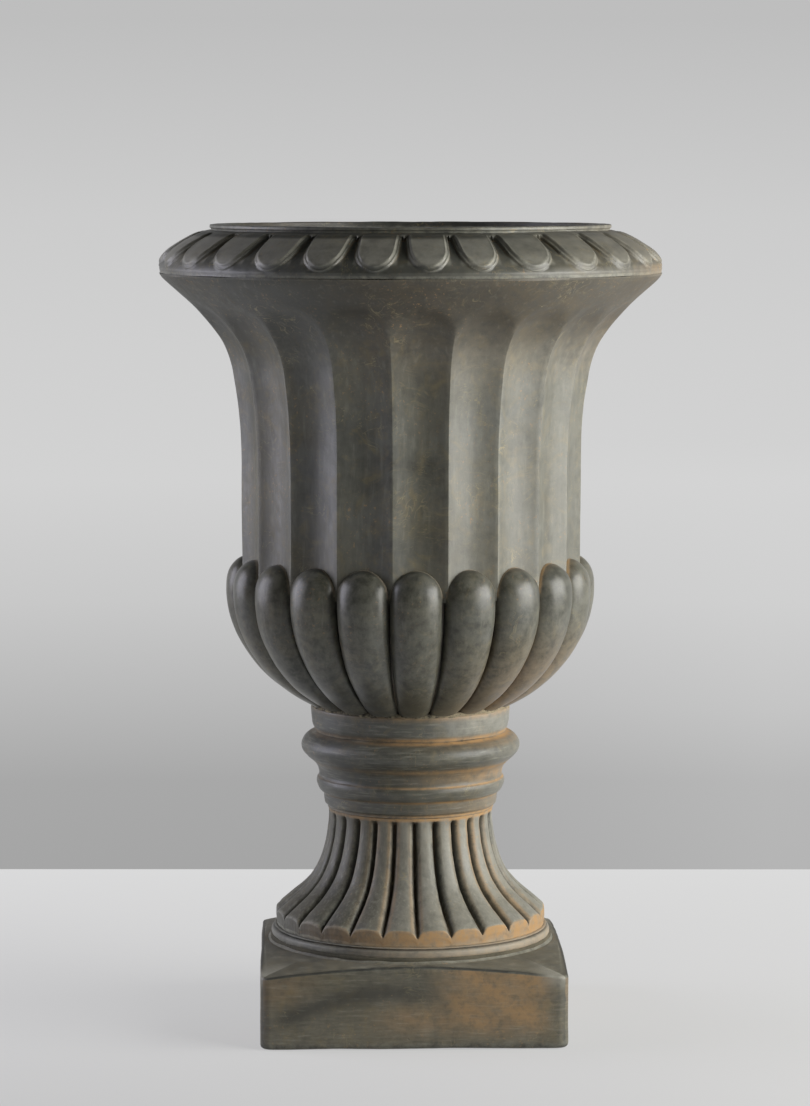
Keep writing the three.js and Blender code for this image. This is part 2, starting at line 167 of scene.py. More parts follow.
share = addNode(worldTree, "ShaderNodeMapRange", [parts.outputs["Z"], *wall["span"]])
ramp = addNode(worldTree, "ShaderNodeValToRGB", [share])
stops = ramp.color_ramp.elements
stops[0].position, stops[1].position = wall["greys"][0][0], wall["greys"][-1][0]
stops[0].color, stops[1].color = hexColour(wall["greys"][0][1]), hexColour(wall["greys"][-1][1])
for place, grey in wall["greys"][1:-1]:
    stops.new(place).color = hexColour(grey)
toRight = addNode(worldTree, "ShaderNodeMapRange", [parts.outputs["X"], *wall["right"], 0, wall["paler"]])
lowDown = addNode(worldTree, "ShaderNodeMapRange", [share, *wall["low"]])
paler = addNode(worldTree, "ShaderNodeMath", [toRight, lowDown], operation="MULTIPLY")
greys = addNode(worldTree, "ShaderNodeMix", {0: paler, 6: ramp, 7: (1, 1, 1, 1)},
                data_type="RGBA", blend_type="ADD")
behind = addNode(worldTree, "ShaderNodeMapRange", [parts.outputs["Y"], *wall["behind"]])
below = addNode(worldTree, "ShaderNodeMapRange", [parts.outputs["Z"], *wall["below"]])
wallLight = addNode(worldTree, "ShaderNodeMath", [behind, below], operation="MULTIPLY")
path = addNode(worldTree, "ShaderNodeLightPath")
wallShare = addNode(worldTree, "ShaderNodeMath", [wallLight, path.outputs["Is Camera Ray"]],
                    operation="MAXIMUM")
sky = addNode(worldTree, "ShaderNodeMix", {0: wallShare, 6: hexColour(wall["room"]), 7: greys.outputs[2]},
              data_type="RGBA")
glow = addNode(worldTree, "ShaderNodeBackground", [sky.outputs[2]])
addNode(worldTree, "ShaderNodeOutputWorld", [glow])

# Floor: a pale table that ends in a straight line behind the urn, square to the camera
# More than half of what the camera sees of it is its own grey, so that the shadow stays soft
floor = {
    "back": 0.798,
    "front": -0.35,  # its own grey changes from here to the back
    "reach": 6.0,
    "drop": 0.0005,  # below the plinth's underside
    "grey": "#c6c6c6",
    "seen": ("#e5e5e5", "#f1f1f1"),  # its own grey, front and back
    "share": (0.5, 0.7),
    "under": (0.1, 0.12),  # from the axis: nearer than this it lies under the plinth, in the dark
}
floorMesh = bpy.data.meshes.new("floor")
floorTurn = Euler((0, 0, cameraTurn)).to_matrix()
floorCorners = [(x, y, 0) for x, y in (
    (-floor["reach"], -floor["reach"]), (floor["reach"], -floor["reach"]),
    (floor["reach"], floor["back"]), (-floor["reach"], floor["back"]))]
floorMesh.from_pydata([list(floorTurn @ Vector(corner)) for corner in floorCorners], [], [(0, 1, 2, 3)])
floorObject = bpy.data.objects.new("floor", floorMesh)
floorObject.location.z = -floor["drop"]
scene.collection.objects.link(floorObject)
floorPaint, floorTree, floorPlace = newMaterial("floorPaint")
floorParts = addNode(floorTree, "ShaderNodeSeparateXYZ", [floorPlace])
toBack = addNode(floorTree, "ShaderNodeMapRange", [floorParts.outputs["Y"], floor["front"], floor["back"]])
seen = addNode(floorTree, "ShaderNodeMix", {
    0: toBack, 6: hexColour(floor["seen"][0]), 7: hexColour(floor["seen"][1])}, data_type="RGBA")
matt = addNode(floorTree, "ShaderNodeBsdfDiffuse", [hexColour(floor["grey"])])
plain = addNode(floorTree, "ShaderNodeEmission", [seen.outputs[2]])
floorPath = addNode(floorTree, "ShaderNodeLightPath")
looked = addNode(floorTree, "ShaderNodeMath", [
    floorPath.outputs["Is Camera Ray"], floorPath.outputs["Is Glossy Ray"]], operation="MAXIMUM")
fromAxis = addNode(floorTree, "ShaderNodeVectorMath", [floorPlace], operation="LENGTH")
inOpen = addNode(floorTree, "ShaderNodeMapRange", [fromAxis.outputs["Value"], *floor["under"]])
plainShare = addNode(floorTree, "ShaderNodeMapRange", [toBack, 0, 1, *floor["share"]])
for limit in (inOpen, looked):
    plainShare = addNode(floorTree, "ShaderNodeMath", [plainShare, limit], operation="MULTIPLY")
both = addNode(floorTree, "ShaderNodeMixShader", [plainShare, matt, plain])
addNode(floorTree, "ShaderNodeOutputMaterial", [both])
floorMesh.materials.append(floorPaint)
print("camera, lights and stage made")


# Node tree that stands a unit as often as its count says, each one turned and raised from the last
def unitTree():
    tree = bpy.data.node_groups.new("standingUnits", "GeometryNodeTree")
    for name, kind in (("Unit", "Geometry"), ("Count", "Int"), ("First angle", "Float"), ("Turn", "Float"),
                       ("Rise", "Float"), ("Finish", "Material")):
        tree.interface.new_socket(name, in_out="INPUT", socket_type="NodeSocket" + kind)
    tree.interface.new_socket("Whole", in_out="OUTPUT", socket_type="NodeSocketGeometry")
    given = addNode(tree, "NodeGroupInput").outputs
    rise = addNode(tree, "ShaderNodeCombineXYZ", {"Z": given["Rise"]})
    places = addNode(tree, "GeometryNodeMeshLine", {"Count": given["Count"], "Offset": rise})
    number = addNode(tree, "GeometryNodeInputIndex")
    angle = addNode(tree, "ShaderNodeMath", [number, given["Turn"], given["First angle"]],
                    operation="MULTIPLY_ADD")
    turn = addNode(tree, "ShaderNodeCombineXYZ", {"Z": angle})
    facing = addNode(tree, "FunctionNodeEulerToRotation", [turn])
    stood = addNode(tree, "GeometryNodeInstanceOnPoints", {
        "Points": places, "Instance": given["Unit"], "Rotation": facing})
    real = addNode(tree, "GeometryNodeRealizeInstances", [stood])
    painted = addNode(tree, "GeometryNodeSetMaterial", {"Geometry": real, "Material": given["Finish"]})
    addNode(tree, "NodeGroupOutput", [painted])
    return tree


standingUnits = unitTree()


# Works a modifier into its piece, which then has a plain mesh
def workIn(piece, modifier):
    evaluated = piece.evaluated_get(bpy.context.evaluated_depsgraph_get())
    mesh = bpy.data.meshes.new_from_object(evaluated)
    piece.modifiers.remove(modifier)
    piece.data = mesh
    mesh.name = piece.name
    return mesh


# A piece made of one unit; wanted says what the tree's inputs get
def standUnits(name, unit, wanted):
    piece = bpy.data.objects.new(name, unit)
    scene.collection.objects.link(piece)
    modifier = piece.modifiers.new("units", "NODES")
    modifier.node_group = standingUnits
    for item in standingUnits.interface.items_tree:
        if item.in_out == "INPUT" and item.name in wanted:
            modifier[item.identifier] = wanted[item.name]
    return piece, workIn(piece, modifier)


# Hangs a piece on its body's empty and hides the frame's node that it stands for
def handIn(piece, body, node):
    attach(piece, body)
    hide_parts(node)


# A unit is a strip of closed sections in mm, side by side; its own sides stay open and meet the next unit
def unitMesh(sections):
    sections = np.asarray(sections) * mm
    columns, points, _ = sections.shape
    faces = []
    for i in range(columns - 1):
        for k in range(points):
            m = (k + 1) % points
            faces.append((i * points + k, (i + 1) * points + k, (i + 1) * points + m, i * points + m))
    mesh = bpy.data.meshes.new("unit")
    mesh.from_pydata(sections.reshape(-1, 3).tolist(), [], faces)
    return mesh


# A count, and the sections of one unit: radius and height for each u from -1 to 1 across the ornament
# A third number in a section gives a point its own u
def turned(count, columns, sectionAt):
    sections = []
    for u in columns:
        section = np.asarray(sectionAt(u))
        across = section[:, 2] if section.shape[1] > 2 else u
        angle = math.pi / count * across - math.pi / 2
        sections.append(np.column_stack((
            section[:, 0] * np.cos(angle), section[:, 0] * np.sin(angle), section[:, 1])))
    return count, sections


# Makes one piece of the dressed urn: stands its unit round the axis, joins it up and gives it its marks
# waves: pairs of wave length and height in mm; warp: degrees that the hand was out at each angle
# hole: a (place, radius, low, high) cut through; paint: the rule for its paint, with the painted shade and
# painted light in it
def ringPiece(name, node, finish, unit, phase=0, waves=(), sharp=32, passes=10, paint=None,
              body="urn", warp=None, hole=None, centre=(0, 0, 0)):
    count, sections = unit
    piece, ring = standUnits(name, unitMesh(sections), {
        "Count": count, "First angle": math.radians(phase), "Turn": math.tau / count, "Finish": finish})
    work = bmesh.new()
    work.from_mesh(ring)
    bmesh.ops.remove_doubles(work, verts=work.verts, dist=joined)
    bmesh.ops.delete(work, geom=[edge for edge in work.edges if not edge.link_faces], context="EDGES")
    bmesh.ops.recalc_face_normals(work, faces=work.faces)
    if warp:
        for point in work.verts:
            off = math.radians(warp(math.degrees(math.atan2(point.co.x, -point.co.y))))
            point.co = Vector((point.co.x * math.cos(off) - point.co.y * math.sin(off),
                               point.co.x * math.sin(off) + point.co.y * math.cos(off), point.co.z))
    bmesh.ops.translate(work, verts=work.verts, vec=centre)
    work.to_mesh(ring)
    work.free()
    if hole:
        ring = cutHole(piece, *hole)
    handWaves(ring, waves)
    markHollows(ring, passes)
    markPaint(ring, paint)
    ring.shade_smooth()
    ring.set_sharp_from_angle(angle=math.radians(sharp))
    handIn(piece, body, node)
    print(name, "made:", len(ring.vertices), "points")


# Cuts a round upright hole through a piece
def cutHole(piece, place, radius, low, high):
    bore = bmesh.new()
    bmesh.ops.create_cone(bore, segments=40, radius1=radius, radius2=radius, depth=high - low, cap_ends=True)
    bmesh.ops.translate(bore, verts=bore.verts, vec=(*place, (low + high) / 2))
    boreMesh = bpy.data.meshes.new("bore")
    bore.to_mesh(boreMesh)
    bore.free()
    boreObject = bpy.data.objects.new("bore", boreMesh)
    scene.collection.objects.link(boreObject)
    modifier = piece.modifiers.new("bore", "BOOLEAN")
    modifier.operation, modifier.solver, modifier.object = "DIFFERENCE", "EXACT", boreObject
    cut = workIn(piece, modifier)
    bpy.data.objects.remove(boreObject)
    return cut


# Places and normals of a mesh's points
def pointsOf(mesh):
    count = len(mesh.vertices) * 3
    places, normals = np.zeros(count), np.zeros(count)
    mesh.vertices.foreach_get("co", places)
    mesh.vertices.foreach_get("normal", normals)
    return places.reshape(-1, 3), normals.reshape(-1, 3)


def storeOn(mesh, name, values):
    mesh.attributes.new(name, "FLOAT", "POINT").data.foreach_set("value", values)


# Moves each point along its normal by noise: pairs of wave length and height, in mm
# The flat underside and lip stay at the height that they have in the frame
def handWaves(mesh, waves):
    places, normals = pointsOf(mesh)
    for length, depth in waves:
        lift = np.array([noise.noise(Vector(p)) for p in places / (length * mm)]) * depth * mm
        places = places + normals * lift[:, None]
    places[:, 2] = np.clip(places[:, 2], cadBox[0][2], cadBox[1][2])
    mesh.vertices.foreach_set("co", places.ravel())
    mesh.update()


# Stores how hollow the surface is at each point: 1 in a groove, -1 on an edge
def markHollows(mesh, passes, depth=0.55):
    places, normals = pointsOf(mesh)
    count = len(places)
    ends = np.zeros(len(mesh.edges) * 2, int)
    mesh.edges.foreach_get("vertices", ends)
    ends = ends.reshape(-1, 2)
    starts, stops = np.concatenate((ends[:, 0], ends[:, 1])), np.concatenate((ends[:, 1], ends[:, 0]))
    near = np.maximum(np.bincount(starts, minlength=count), 1)
    eased = places.copy()
    for _ in range(passes):
        sums = [np.bincount(starts, weights=eased[stops, axis], minlength=count) for axis in range(3)]
        eased = (eased + np.column_stack(sums) / near[:, None]) / 2
    storeOn(mesh, "hollow", np.clip(((eased - places) * normals).sum(1) / (depth * mm), -1, 1))


# Stores how much ochre, how much dark paint and painted shade, and how much pale dry-brush and painted light
# lies, by a piece's own rule
# The rule gets each point's angle from the front in degrees, its radius and its height in mm
def markPaint(mesh, paint):
    x, y, z = pointsOf(mesh)[0].T / mm
    amounts = paint(np.degrees(np.arctan2(x, -y)), np.hypot(x, y), z) if paint else (0, 0, 0)
    for name, amount in zip(("wash", "sootAndShade", "chalkAndLight"), amounts):
        storeOn(mesh, name, np.clip(amount + 0 * x, 0, 1))


# Soft hump of 1 round a middle
def hump(value, middle, half):
    return np.exp(-((value - middle) / half) ** 2)


# Sum of soft humps, each (middle, half width, amount)
def bands(value, *places):
    return sum(amount * hump(value, middle, half) for middle, half, amount in places)


# Smooth curve through a few points, given as shares or as sizes
def smoothCurve(points, steps):
    points = np.asarray(points, float)
    knots = np.arange(len(points))
    slopes = np.gradient(points, axis=0)
    at = np.linspace(0, len(points) - 1, steps)
    low = np.clip(at.astype(int), 0, len(points) - 2)
    t = (at - knots[low])[:, None]
    a, b, m, n = points[low], points[low + 1], slopes[low], slopes[low + 1]
    return ((2 * t ** 3 - 3 * t ** 2 + 1) * a + (t ** 3 - 2 * t ** 2 + t) * m
            + (-2 * t ** 3 + 3 * t ** 2) * b + (t ** 3 - t ** 2) * n)


# Straight stretches from corner to corner, each in its own number of steps, up to the last corner
def straight(corners, *steps):
    stretches = zip(corners, corners[1:], steps)
    return np.vstack([np.linspace(start, end, count + 1)[:-1] for start, end, count in stretches])


# Rounded edge, from its upright face to its level one; out and up are -1 where it faces the other way
def roundedEdge(radius, height, size, points, out=1, up=1):
    return [(radius - out * size * (1 - math.cos(a)), height - up * size * (1 - math.sin(a)))
            for a in np.linspace(0, math.pi / 2, points)]


def softStep(low, high, value):
    t = np.clip((value - low) / (high - low), 0, 1)
    return t * t * (3 - 2 * t)


# The ochre lies thicker on the right of the front, and on one stretch behind, as the brush left it. The same
# mask also puts painted light on the right and painted shade on the left of some pieces
def rightHand(angle, start=-40, full=10):
    front = softStep(start, full, angle) * (1 - softStep(110, 150, angle))
    return front + softStep(-170, -130, angle) * (1 - softStep(-130, -100, angle))


# Half-round moulding between two heights
def roll(footRadius, crestRadius, low, high, steps):
    bend = np.linspace(-math.pi / 2, math.pi / 2, steps)
    return np.column_stack((
        footRadius + (crestRadius - footRadius) * np.cos(bend),
        (low + high) / 2 + (high - low) / 2 * np.sin(bend)))


# Columns across one ornament, even or closer together towards its sides
def even(count):
    return np.linspace(-1, 1, count)


def crowded(count):
    return 0.5 * even(count) + 0.5 * np.sin(math.pi / 2 * even(count))


def levels(node):
    low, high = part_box(node)
    return low.z / mm, high.z / mm


def reach(node):
    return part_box(node)[1].x / mm


# The cast stone is a fine cement mix, painted dark and rubbed back, with ochre left in its hollows
patina = {
    "colours": {"slate": "#5d6165", "umber": "#5f573f", "smear": "#7d704e", "chalkAndLight": "#a9a79c",
                "sootAndShade": "#2e2f2c", "pale": "#a6a698", "curl": "#9c8f6c", "ochre": "#ad8a5e",
                "hair": "#a29672", "pit": "#161512"},
    # Noises: mm across one cloud, detail, roughness and distortion
    "noises": {
        "clouds": (62, 4, 0.6, 0.4),
        "mottle": (9, 5, 0.68, 0),
        "fleck": (3.2, 3, 0.6, 0),
        "slatePatch": (95, 3, 0.5, 0.8),
        "umberPatch": (120, 3, 0.55, 1.0),
        "smearPatch": (34, 4, 0.6, 2.2),
        "curlPatch": (55, 2, 0.6, 0),
        "scratch": (26, 3, 0.55, 1.6),
        "hairPatch": (40, 2, 0.6, 0),
        "grain": (1.1, 2, 0.6, 0),
    },
    "stroke": (9, 9, 2.4),  # mm of one small stroke along x, y and z
    "swirl": (38, 40),  # mm across one turn of the rag, and how far it swings a stroke
    "pit": (15, 1.0),  # mm from pore to pore, and across one
    # Layers in the order of the brush: colour, amount (a number, or the look's own) and what breaks them up:
    # a field, its values where the paint is thinnest and where it is full, and the share left at the thinnest
    "layers": [
        ("slate", "slate", [("slatePatch", 0.5, 0.72, 0)]),
        ("umber", "umber", [("umberPatch", 0.46, 0.66, 0), ("mottle", 0.3, 0.62, 0.35)]),
        ("smear", "smear", [("smearPatch", 0.52, 0.68, 0), ("mottle", 0.35, 0.62, 0.3)]),
        # Pale dry-brush, and painted light where a piece's rule puts it
        ("chalkAndLight", 1, [("chalkAndLight", 0, 1, 0), ("mottle", 0.3, 0.6, 0.6)]),
        # Dark paint, and painted shade in grooves, gaps, hollows and on the shaded side
        ("sootAndShade", 1, [("sootAndShade", 0, 1, 0), ("streaks", 0.25, 0.6, 0.75)]),
        ("pale", "pale", [("streaks", 0.56, 0.78, 0)]),
        ("curl", "curls", [("strokes", 0.56, 0.7, 0), ("curlPatch", 0.5, 0.6, 0)]),  # where the rag turned
        ("pale", "worn", [("hollow", -0.25, -0.8, 0), ("mottle", 0.35, 0.6, 0)]),  # on raised edges
        ("ochre", 1, [("lain", 0, 1, 0)]),
        ("ochre", "flecks", [("fleck", 0.62, 0.67, 0), ("clouds", 0.48, 0.62, 0)]),
        ("hair", "flecks", [("hairline", 0.012, 0.003, 0), ("hairPatch", 0.55, 0.66, 0)]),
        ("pit", 1, [("pore", 0, 1, 0)]),
    ],
    "lain": [("ochre", 0, 1, 0), ("mottle", 0.3, 0.56, 0.3)],  # ochre in grooves and where the wash lies
    "dull": 0.2,  # roughness that the ochre adds
    "grainRelief": 0.1,
    "poreRelief": 1.2,
}


# look: streak gives the mm of one brush streak along x, y and z, and the amounts run from 0 to 1
def patinatedStone(name, look):
    material, tree, coords = newMaterial(name)
    place = addNode(tree, "ShaderNodeMapping", {0: coords, "Location": look["shift"]})
    fields = {mark: addNode(tree, "ShaderNodeAttribute", attribute_name=mark).outputs["Fac"]
              for mark in ("hollow", "wash", "sootAndShade", "chalkAndLight")}
    for field, (size, detail, roughness, distortion) in patina["noises"].items():
        fields[field] = addNode(tree, "ShaderNodeTexNoise", {
            0: place, "Scale": 1 / (size * mm), "Detail": detail, "Roughness": roughness,
            "Distortion": distortion})

    # How far a layer covers: its amount, broken up by fields
    def cover(amount, breaks):
        for field, thin, full, least in breaks:
            part = addNode(tree, "ShaderNodeMapRange", [fields[field], thin, full, least, 1])
            amount = addNode(tree, "ShaderNodeMath", [amount, part], operation="MULTIPLY")
        return amount

    # Long streaks run as the brush went, and small curved strokes turned with the rag
    swirlSize, swing = patina["swirl"]
    swirl = addNode(tree, "ShaderNodeTexNoise", {0: place, "Scale": 1 / (swirlSize * mm), "Detail": 1})
    swung = addNode(tree, "ShaderNodeVectorMath", [swirl.outputs["Color"], [swing * mm] * 3, place],
                    operation="MULTIPLY_ADD")
    for field, source, sizes, detail, roughness in (("streaks", place, look["streak"], 4, 0.6),
                                                    ("strokes", swung, patina["stroke"], 3, 0.65)):
        drawn = addNode(tree, "ShaderNodeMapping", {0: source, "Scale": [1 / (size * mm) for size in sizes]})
        fields[field] = addNode(tree, "ShaderNodeTexNoise", {
            0: drawn, "Scale": 1, "Detail": detail, "Roughness": roughness})
    # Hairlines follow the middle value of a noise
    offMiddle = addNode(tree, "ShaderNodeMath", [fields["scratch"], 0.5], operation="SUBTRACT")
    fields["hairline"] = addNode(tree, "ShaderNodeMath", [offMiddle], operation="ABSOLUTE")
    deep = addNode(tree, "ShaderNodeMapRange", [fields["hollow"], *look["deep"], 0, look["ochre"]])
    fields["ochre"] = addNode(tree, "ShaderNodeMath", [deep, fields["wash"]], operation="MAXIMUM")
    fields["lain"] = cover(1, patina["lain"])
    # Small open pores of the casting, dark inside, in some of the cells
    spacing, poreSize = patina["pit"]
    cells = addNode(tree, "ShaderNodeTexVoronoi", {0: place, "Scale": 1 / (spacing * mm)})
    fields["cell"] = cells.outputs["Distance"]
    fields["chosen"] = addNode(tree, "ShaderNodeMath", [cells.outputs["Color"], 1 - look["pits"]],
                               operation="GREATER_THAN")
    poreEdge = poreSize / spacing
    fields["pore"] = cover(1, [("cell", poreEdge, poreEdge / 2, 0), ("chosen", 0, 1, 0)])

    # Ground: clouds, mottling and brush streaks together move between the dark and the mid tone
    tone = 0.5 - 0.5 * sum(look["tone"])
    for field, weight in zip(("clouds", "mottle", "streaks"), look["tone"]):
        tone = addNode(tree, "ShaderNodeMath", [fields[field], weight, tone], operation="MULTIPLY_ADD")
    paint = addNode(tree, "ShaderNodeMix", {0: tone, 6: hexColour(look["dark"]), 7: hexColour(look["mid"])},
                    data_type="RGBA")
    for colour, amount, breaks in patina["layers"]:
        paint = addNode(tree, "ShaderNodeMix", {
            0: cover(look.get(amount, amount), breaks), 6: paint.outputs[2],
            7: hexColour(patina["colours"][colour])}, data_type="RGBA")
    # Rubbed paint is satin, and duller where the ochre lies
    satin = addNode(tree, "ShaderNodeMapRange", [fields["mottle"], 0.3, 0.7, *look["rough"]])
    rough = addNode(tree, "ShaderNodeMath", [fields["lain"], patina["dull"], satin], operation="MULTIPLY_ADD")
    # Relief: grain of the cement, coarser than real to show, then brush streaks, mottling and pores
    normal = {}
    for field, strength, depth in (("grain", 0.3, patina["grainRelief"]), ("streaks", 0.5, look["relief"]),
                                   ("mottle", 0.5, look["swell"]), ("pore", 1.0, -patina["poreRelief"])):
        bump = addNode(tree, "ShaderNodeBump", {
            "Strength": strength, "Distance": abs(depth) * mm, "Height": fields[field], **normal},
            invert=depth < 0)
        normal = {"Normal": bump}
    shader = addNode(tree, "ShaderNodeBsdfPrincipled", {
        "IOR": 1.5, "Base Color": paint.outputs[2], "Roughness": rough, **normal})
    addNode(tree, "ShaderNodeOutputMaterial", [shader])
    return material


# Straight closing of a hollow turned section: over its top, down the shaft and back under its foot
def closing(inside, top, foot, back, *steps):
    return straight([(inside, top), (plinth["shaft"], top), (plinth["shaft"], foot), (back, foot)], *steps)


# Outward normals along a curve
def normalsOf(curve):
    tangent = np.gradient(curve, axis=0)
    return np.column_stack((tangent[:, 1], -tangent[:, 0])) / np.linalg.norm(tangent, axis=1)[:, None]


# Share of the way from the middle of an ornament, 0, to its side, 1
def acrossOne(angle, phase, count):
    return np.abs(((angle - phase) * count / 360 + 0.5) % 1 - 0.5) * 2


# Section of a turned casting: its curves in radius and height over the foot, each after its number of points
def castingSection(look, node):
    outer = np.vstack([smoothCurve(curve, points) for points, *curve in look["curves"]])
    outer = outer + (0, levels(node)[0])
    inside, back, steps = look["closing"]
    return np.vstack((outer, closing(inside, outer[-1, 1], outer[0, 1], back, 5, steps, 5)))


# Amounts of wash, soot and chalk: the first three where the mask holds, the others outside
def within(mask, held, amounts):
    return [np.where(mask, inner, outer) for inner, outer in zip(held, amounts)]


# Plinth: square block with a weathered top
plinth = {
    "half": reach("plinth"),
    "corner": 10,
    "seatRadius": 138,
    "skirtRadius": 142,
    "skirtDrop": 2,
    "cornerDrop": 12.5,
    "edge": 3.5,  # rounding of the upper edge
    "footEdge": 4,
    "recess": 85,
    "recessDepth": 40,
    "shaft": 55,
    "joint": 1.5,
}


# Height of the weathered top at a distance from the axis
def plinthTop(radius):
    diagonal = math.sqrt(2) * (plinth["half"] - plinth["corner"]) + plinth["corner"]
    fall = (plinth["cornerDrop"] - plinth["skirtDrop"]) / (diagonal - plinth["skirtRadius"])
    return levels("plinth")[1] - plinth["skirtDrop"] - fall * (radius - plinth["skirtRadius"])


def plinthUnit():
    top = levels("plinth")[1] + plinth["joint"]
    half, corner, edge, footEdge = (plinth[key] for key in ("half", "corner", "edge", "footEdge"))
    shaft, recess, ceiling, seat = (plinth[key] for key in ("shaft", "recess", "recessDepth", "seatRadius"))
    inner = half - corner
    outline = [(inner * t, -half) for t in np.linspace(0, 1, 34)[:-1]]
    outline += [(inner + corner * math.sin(a), -inner - corner * math.cos(a))
                for a in np.linspace(0, math.pi / 4, 9)]
    outline = [(-x, y) for x, y in outline[:0:-1]] + outline
    skirt = plinthTop(plinth["skirtRadius"])
    sections = []
    for x, y in outline:
        far = math.hypot(x, y)
        brow = plinthTop(far)
        skirtRadius = min(plinth["skirtRadius"], far - edge - 0.5)
        side = roundedEdge(far, 0, footEdge, 5, up=-1)[::-1]
        side += [(far, z) for z in np.linspace(footEdge, brow - edge, 22)[1:]]
        side += roundedEdge(far, brow, edge, 9)[1:]
        side += [(r, plinthTop(r)) for r in np.linspace(far - edge, skirtRadius, 14)[1:]]
        side += straight([(skirtRadius, skirt + 0.1), (seat, skirt + 0.3)], 3)[1:].tolist()
        side += straight([(seat - 2, top), (shaft, top), (shaft, ceiling), (recess, ceiling), (recess, 0),
                          (far - footEdge, 0)], 6, 4, 3, 4, 5).tolist()
        sections.append([(x / far * r, y / far * r, z) for r, z in side])
    return 4, sections


# On each side a dark cloud from the lower left to the middle, ochre right of it, and a dark line at the brow;
# painted shade on the rounded corners, less where pale scratches cross them; darker along the bottom and
# underneath
def plinthPaint(angle, radius, z):
    side = (angle + 45) % 90 - 45  # from the middle of the side
    across = radius * np.sin(np.radians(side)) / plinth["half"]
    inset = plinth["half"] / np.cos(np.radians(side)) - radius
    brow = z > plinthTop(radius) - 2.6
    arc = 54 - 34 * np.clip((-0.2 - across) / 0.8, 0, 1) ** 1.6
    cloud = 0.85 * hump(z, arc, 10) * softStep(-0.98, -0.8, across) * (1 - softStep(-0.2, 0.35, across))
    patchy = 0.82 + 0.18 * np.sin(0.16 * z + 0.4 * side + 1)
    ochre = patchy * softStep(0.02, 0.4, across) * (1 - softStep(0.74, 0.95, across)) * softStep(4, 30, z)
    ochre += 0.55 * hump(across, -0.02, 0.2) * hump(z, 28, 14)
    ochre += 0.3 * (1 - softStep(-0.9, -0.5, across)) * softStep(30, 56, z)
    line = hump(inset, 1.2, 1.7) * brow * (1 - softStep(0.72, 0.9, across))
    foot = 0.8 * (1 - softStep(2.5, 6, z))
    # Painted shade on the rounded corners, full on each side's right one
    corner = softStep(0.93, 1.0, across) + 0.5 * (1 - softStep(-1.0, -0.95, across))
    scratched = 0.6 * softStep(0.72, 0.95, across) * softStep(52, 68, z)
    sootAndShade = line + foot + (0.85 * cloud + 0.75 * corner * (1 - scratched)) * (1 - brow)
    chalkAndLight = scratched + 0.12 * rightHand(side, -60, -20) * brow
    under = (z < 1) | (radius < plinth["recess"] + 1)
    return within(under, (0, 0.2, 0), (0.7 * ochre * (1 - cloud) * (1 - brow), sootAndShade, chalkAndLight))


plinthStone = patinatedStone("castStonePlinth", {
    "streak": (18, 18, 2.2), "shift": (0.3, 0.1, 0.2), "dark": "#4d4b40", "mid": "#7c786a",
    "tone": (1.3, 1.0, 1.2), "slate": 0.15, "umber": 0.4, "pale": 0.2, "worn": 0.25, "ochre": 0.5,
    "deep": (0.3, 0.9), "flecks": 0.35, "smear": 0.3, "curls": 0.3, "pits": 0.14, "rough": (0.46, 0.66),
    "relief": 0.1, "swell": 0.4})
ringPiece("plinthCasting", "plinth", plinthStone, plinthUnit(), waves=[(60, 0.6), (14, 0.2)],
          paint=plinthPaint)

# Foot ring: one wide soft bead under a thin fillet, and the uneven line of mortar that it sits on
footRing = {
    "curves": [
        [18, (134.6, -1.5), (136, 0.9), (136.2, 2.8), (135.7, 5.2), (134.3, 6.8), (132.3, 7.7)],
        [9, (132.5, 7.9), (133.2, 8.5), (133.1, 9.1), (131.9, 9.6)],
    ],
    "closing": (131.2, 133.7, 3),  # radius inside its top and under its foot, and steps down the shaft
    "filletHigh": 2.4,
}


def footRingSection(u):
    return castingSection(footRing, "foot_ring")


# Ochre in the creases, thicker on the right; painted shade in the crease under the fillet, and a dark stain
# left of the front; pale dry-brush all round, with a painted highlight on the right
def footPaint(angle, radius, z):
    low, high = levels("foot_ring")
    ochre = bands(z, (high, 1.6, 0.5), (low + 4, 3, 0.35), (low, 1.6, 0.4)) * rightHand(angle)
    crease = bands(z, (high - footRing["filletHigh"], 0.8, 0.8))
    stain = bands(z, (low + 5, 3, 0.5)) * hump(angle, -22, 9)
    return ochre, crease + stain, 0.2 + 0.42 * rightHand(angle, -40, 30)


footStone = patinatedStone("castStoneFoot", {
    "streak": (22, 22, 2.4), "shift": (0.7, 0.2, 0.4), "dark": "#454540", "mid": "#7b7a70",
    "tone": (1.8, 1.0, 0.8), "slate": 0.2, "umber": 0.35, "pale": 0.3, "worn": 0.25, "ochre": 0.35,
    "deep": (0.3, 0.9), "flecks": 0.4, "smear": 0.35, "curls": 0.2, "pits": 0.1, "rough": (0.44, 0.62),
    "relief": 0.08, "swell": 0.3})
ringPiece("footRingCasting", "foot_ring", footStone, turned(24, even(11), footRingSection),
          waves=[(50, 0.5), (12, 0.15)], paint=footPaint)
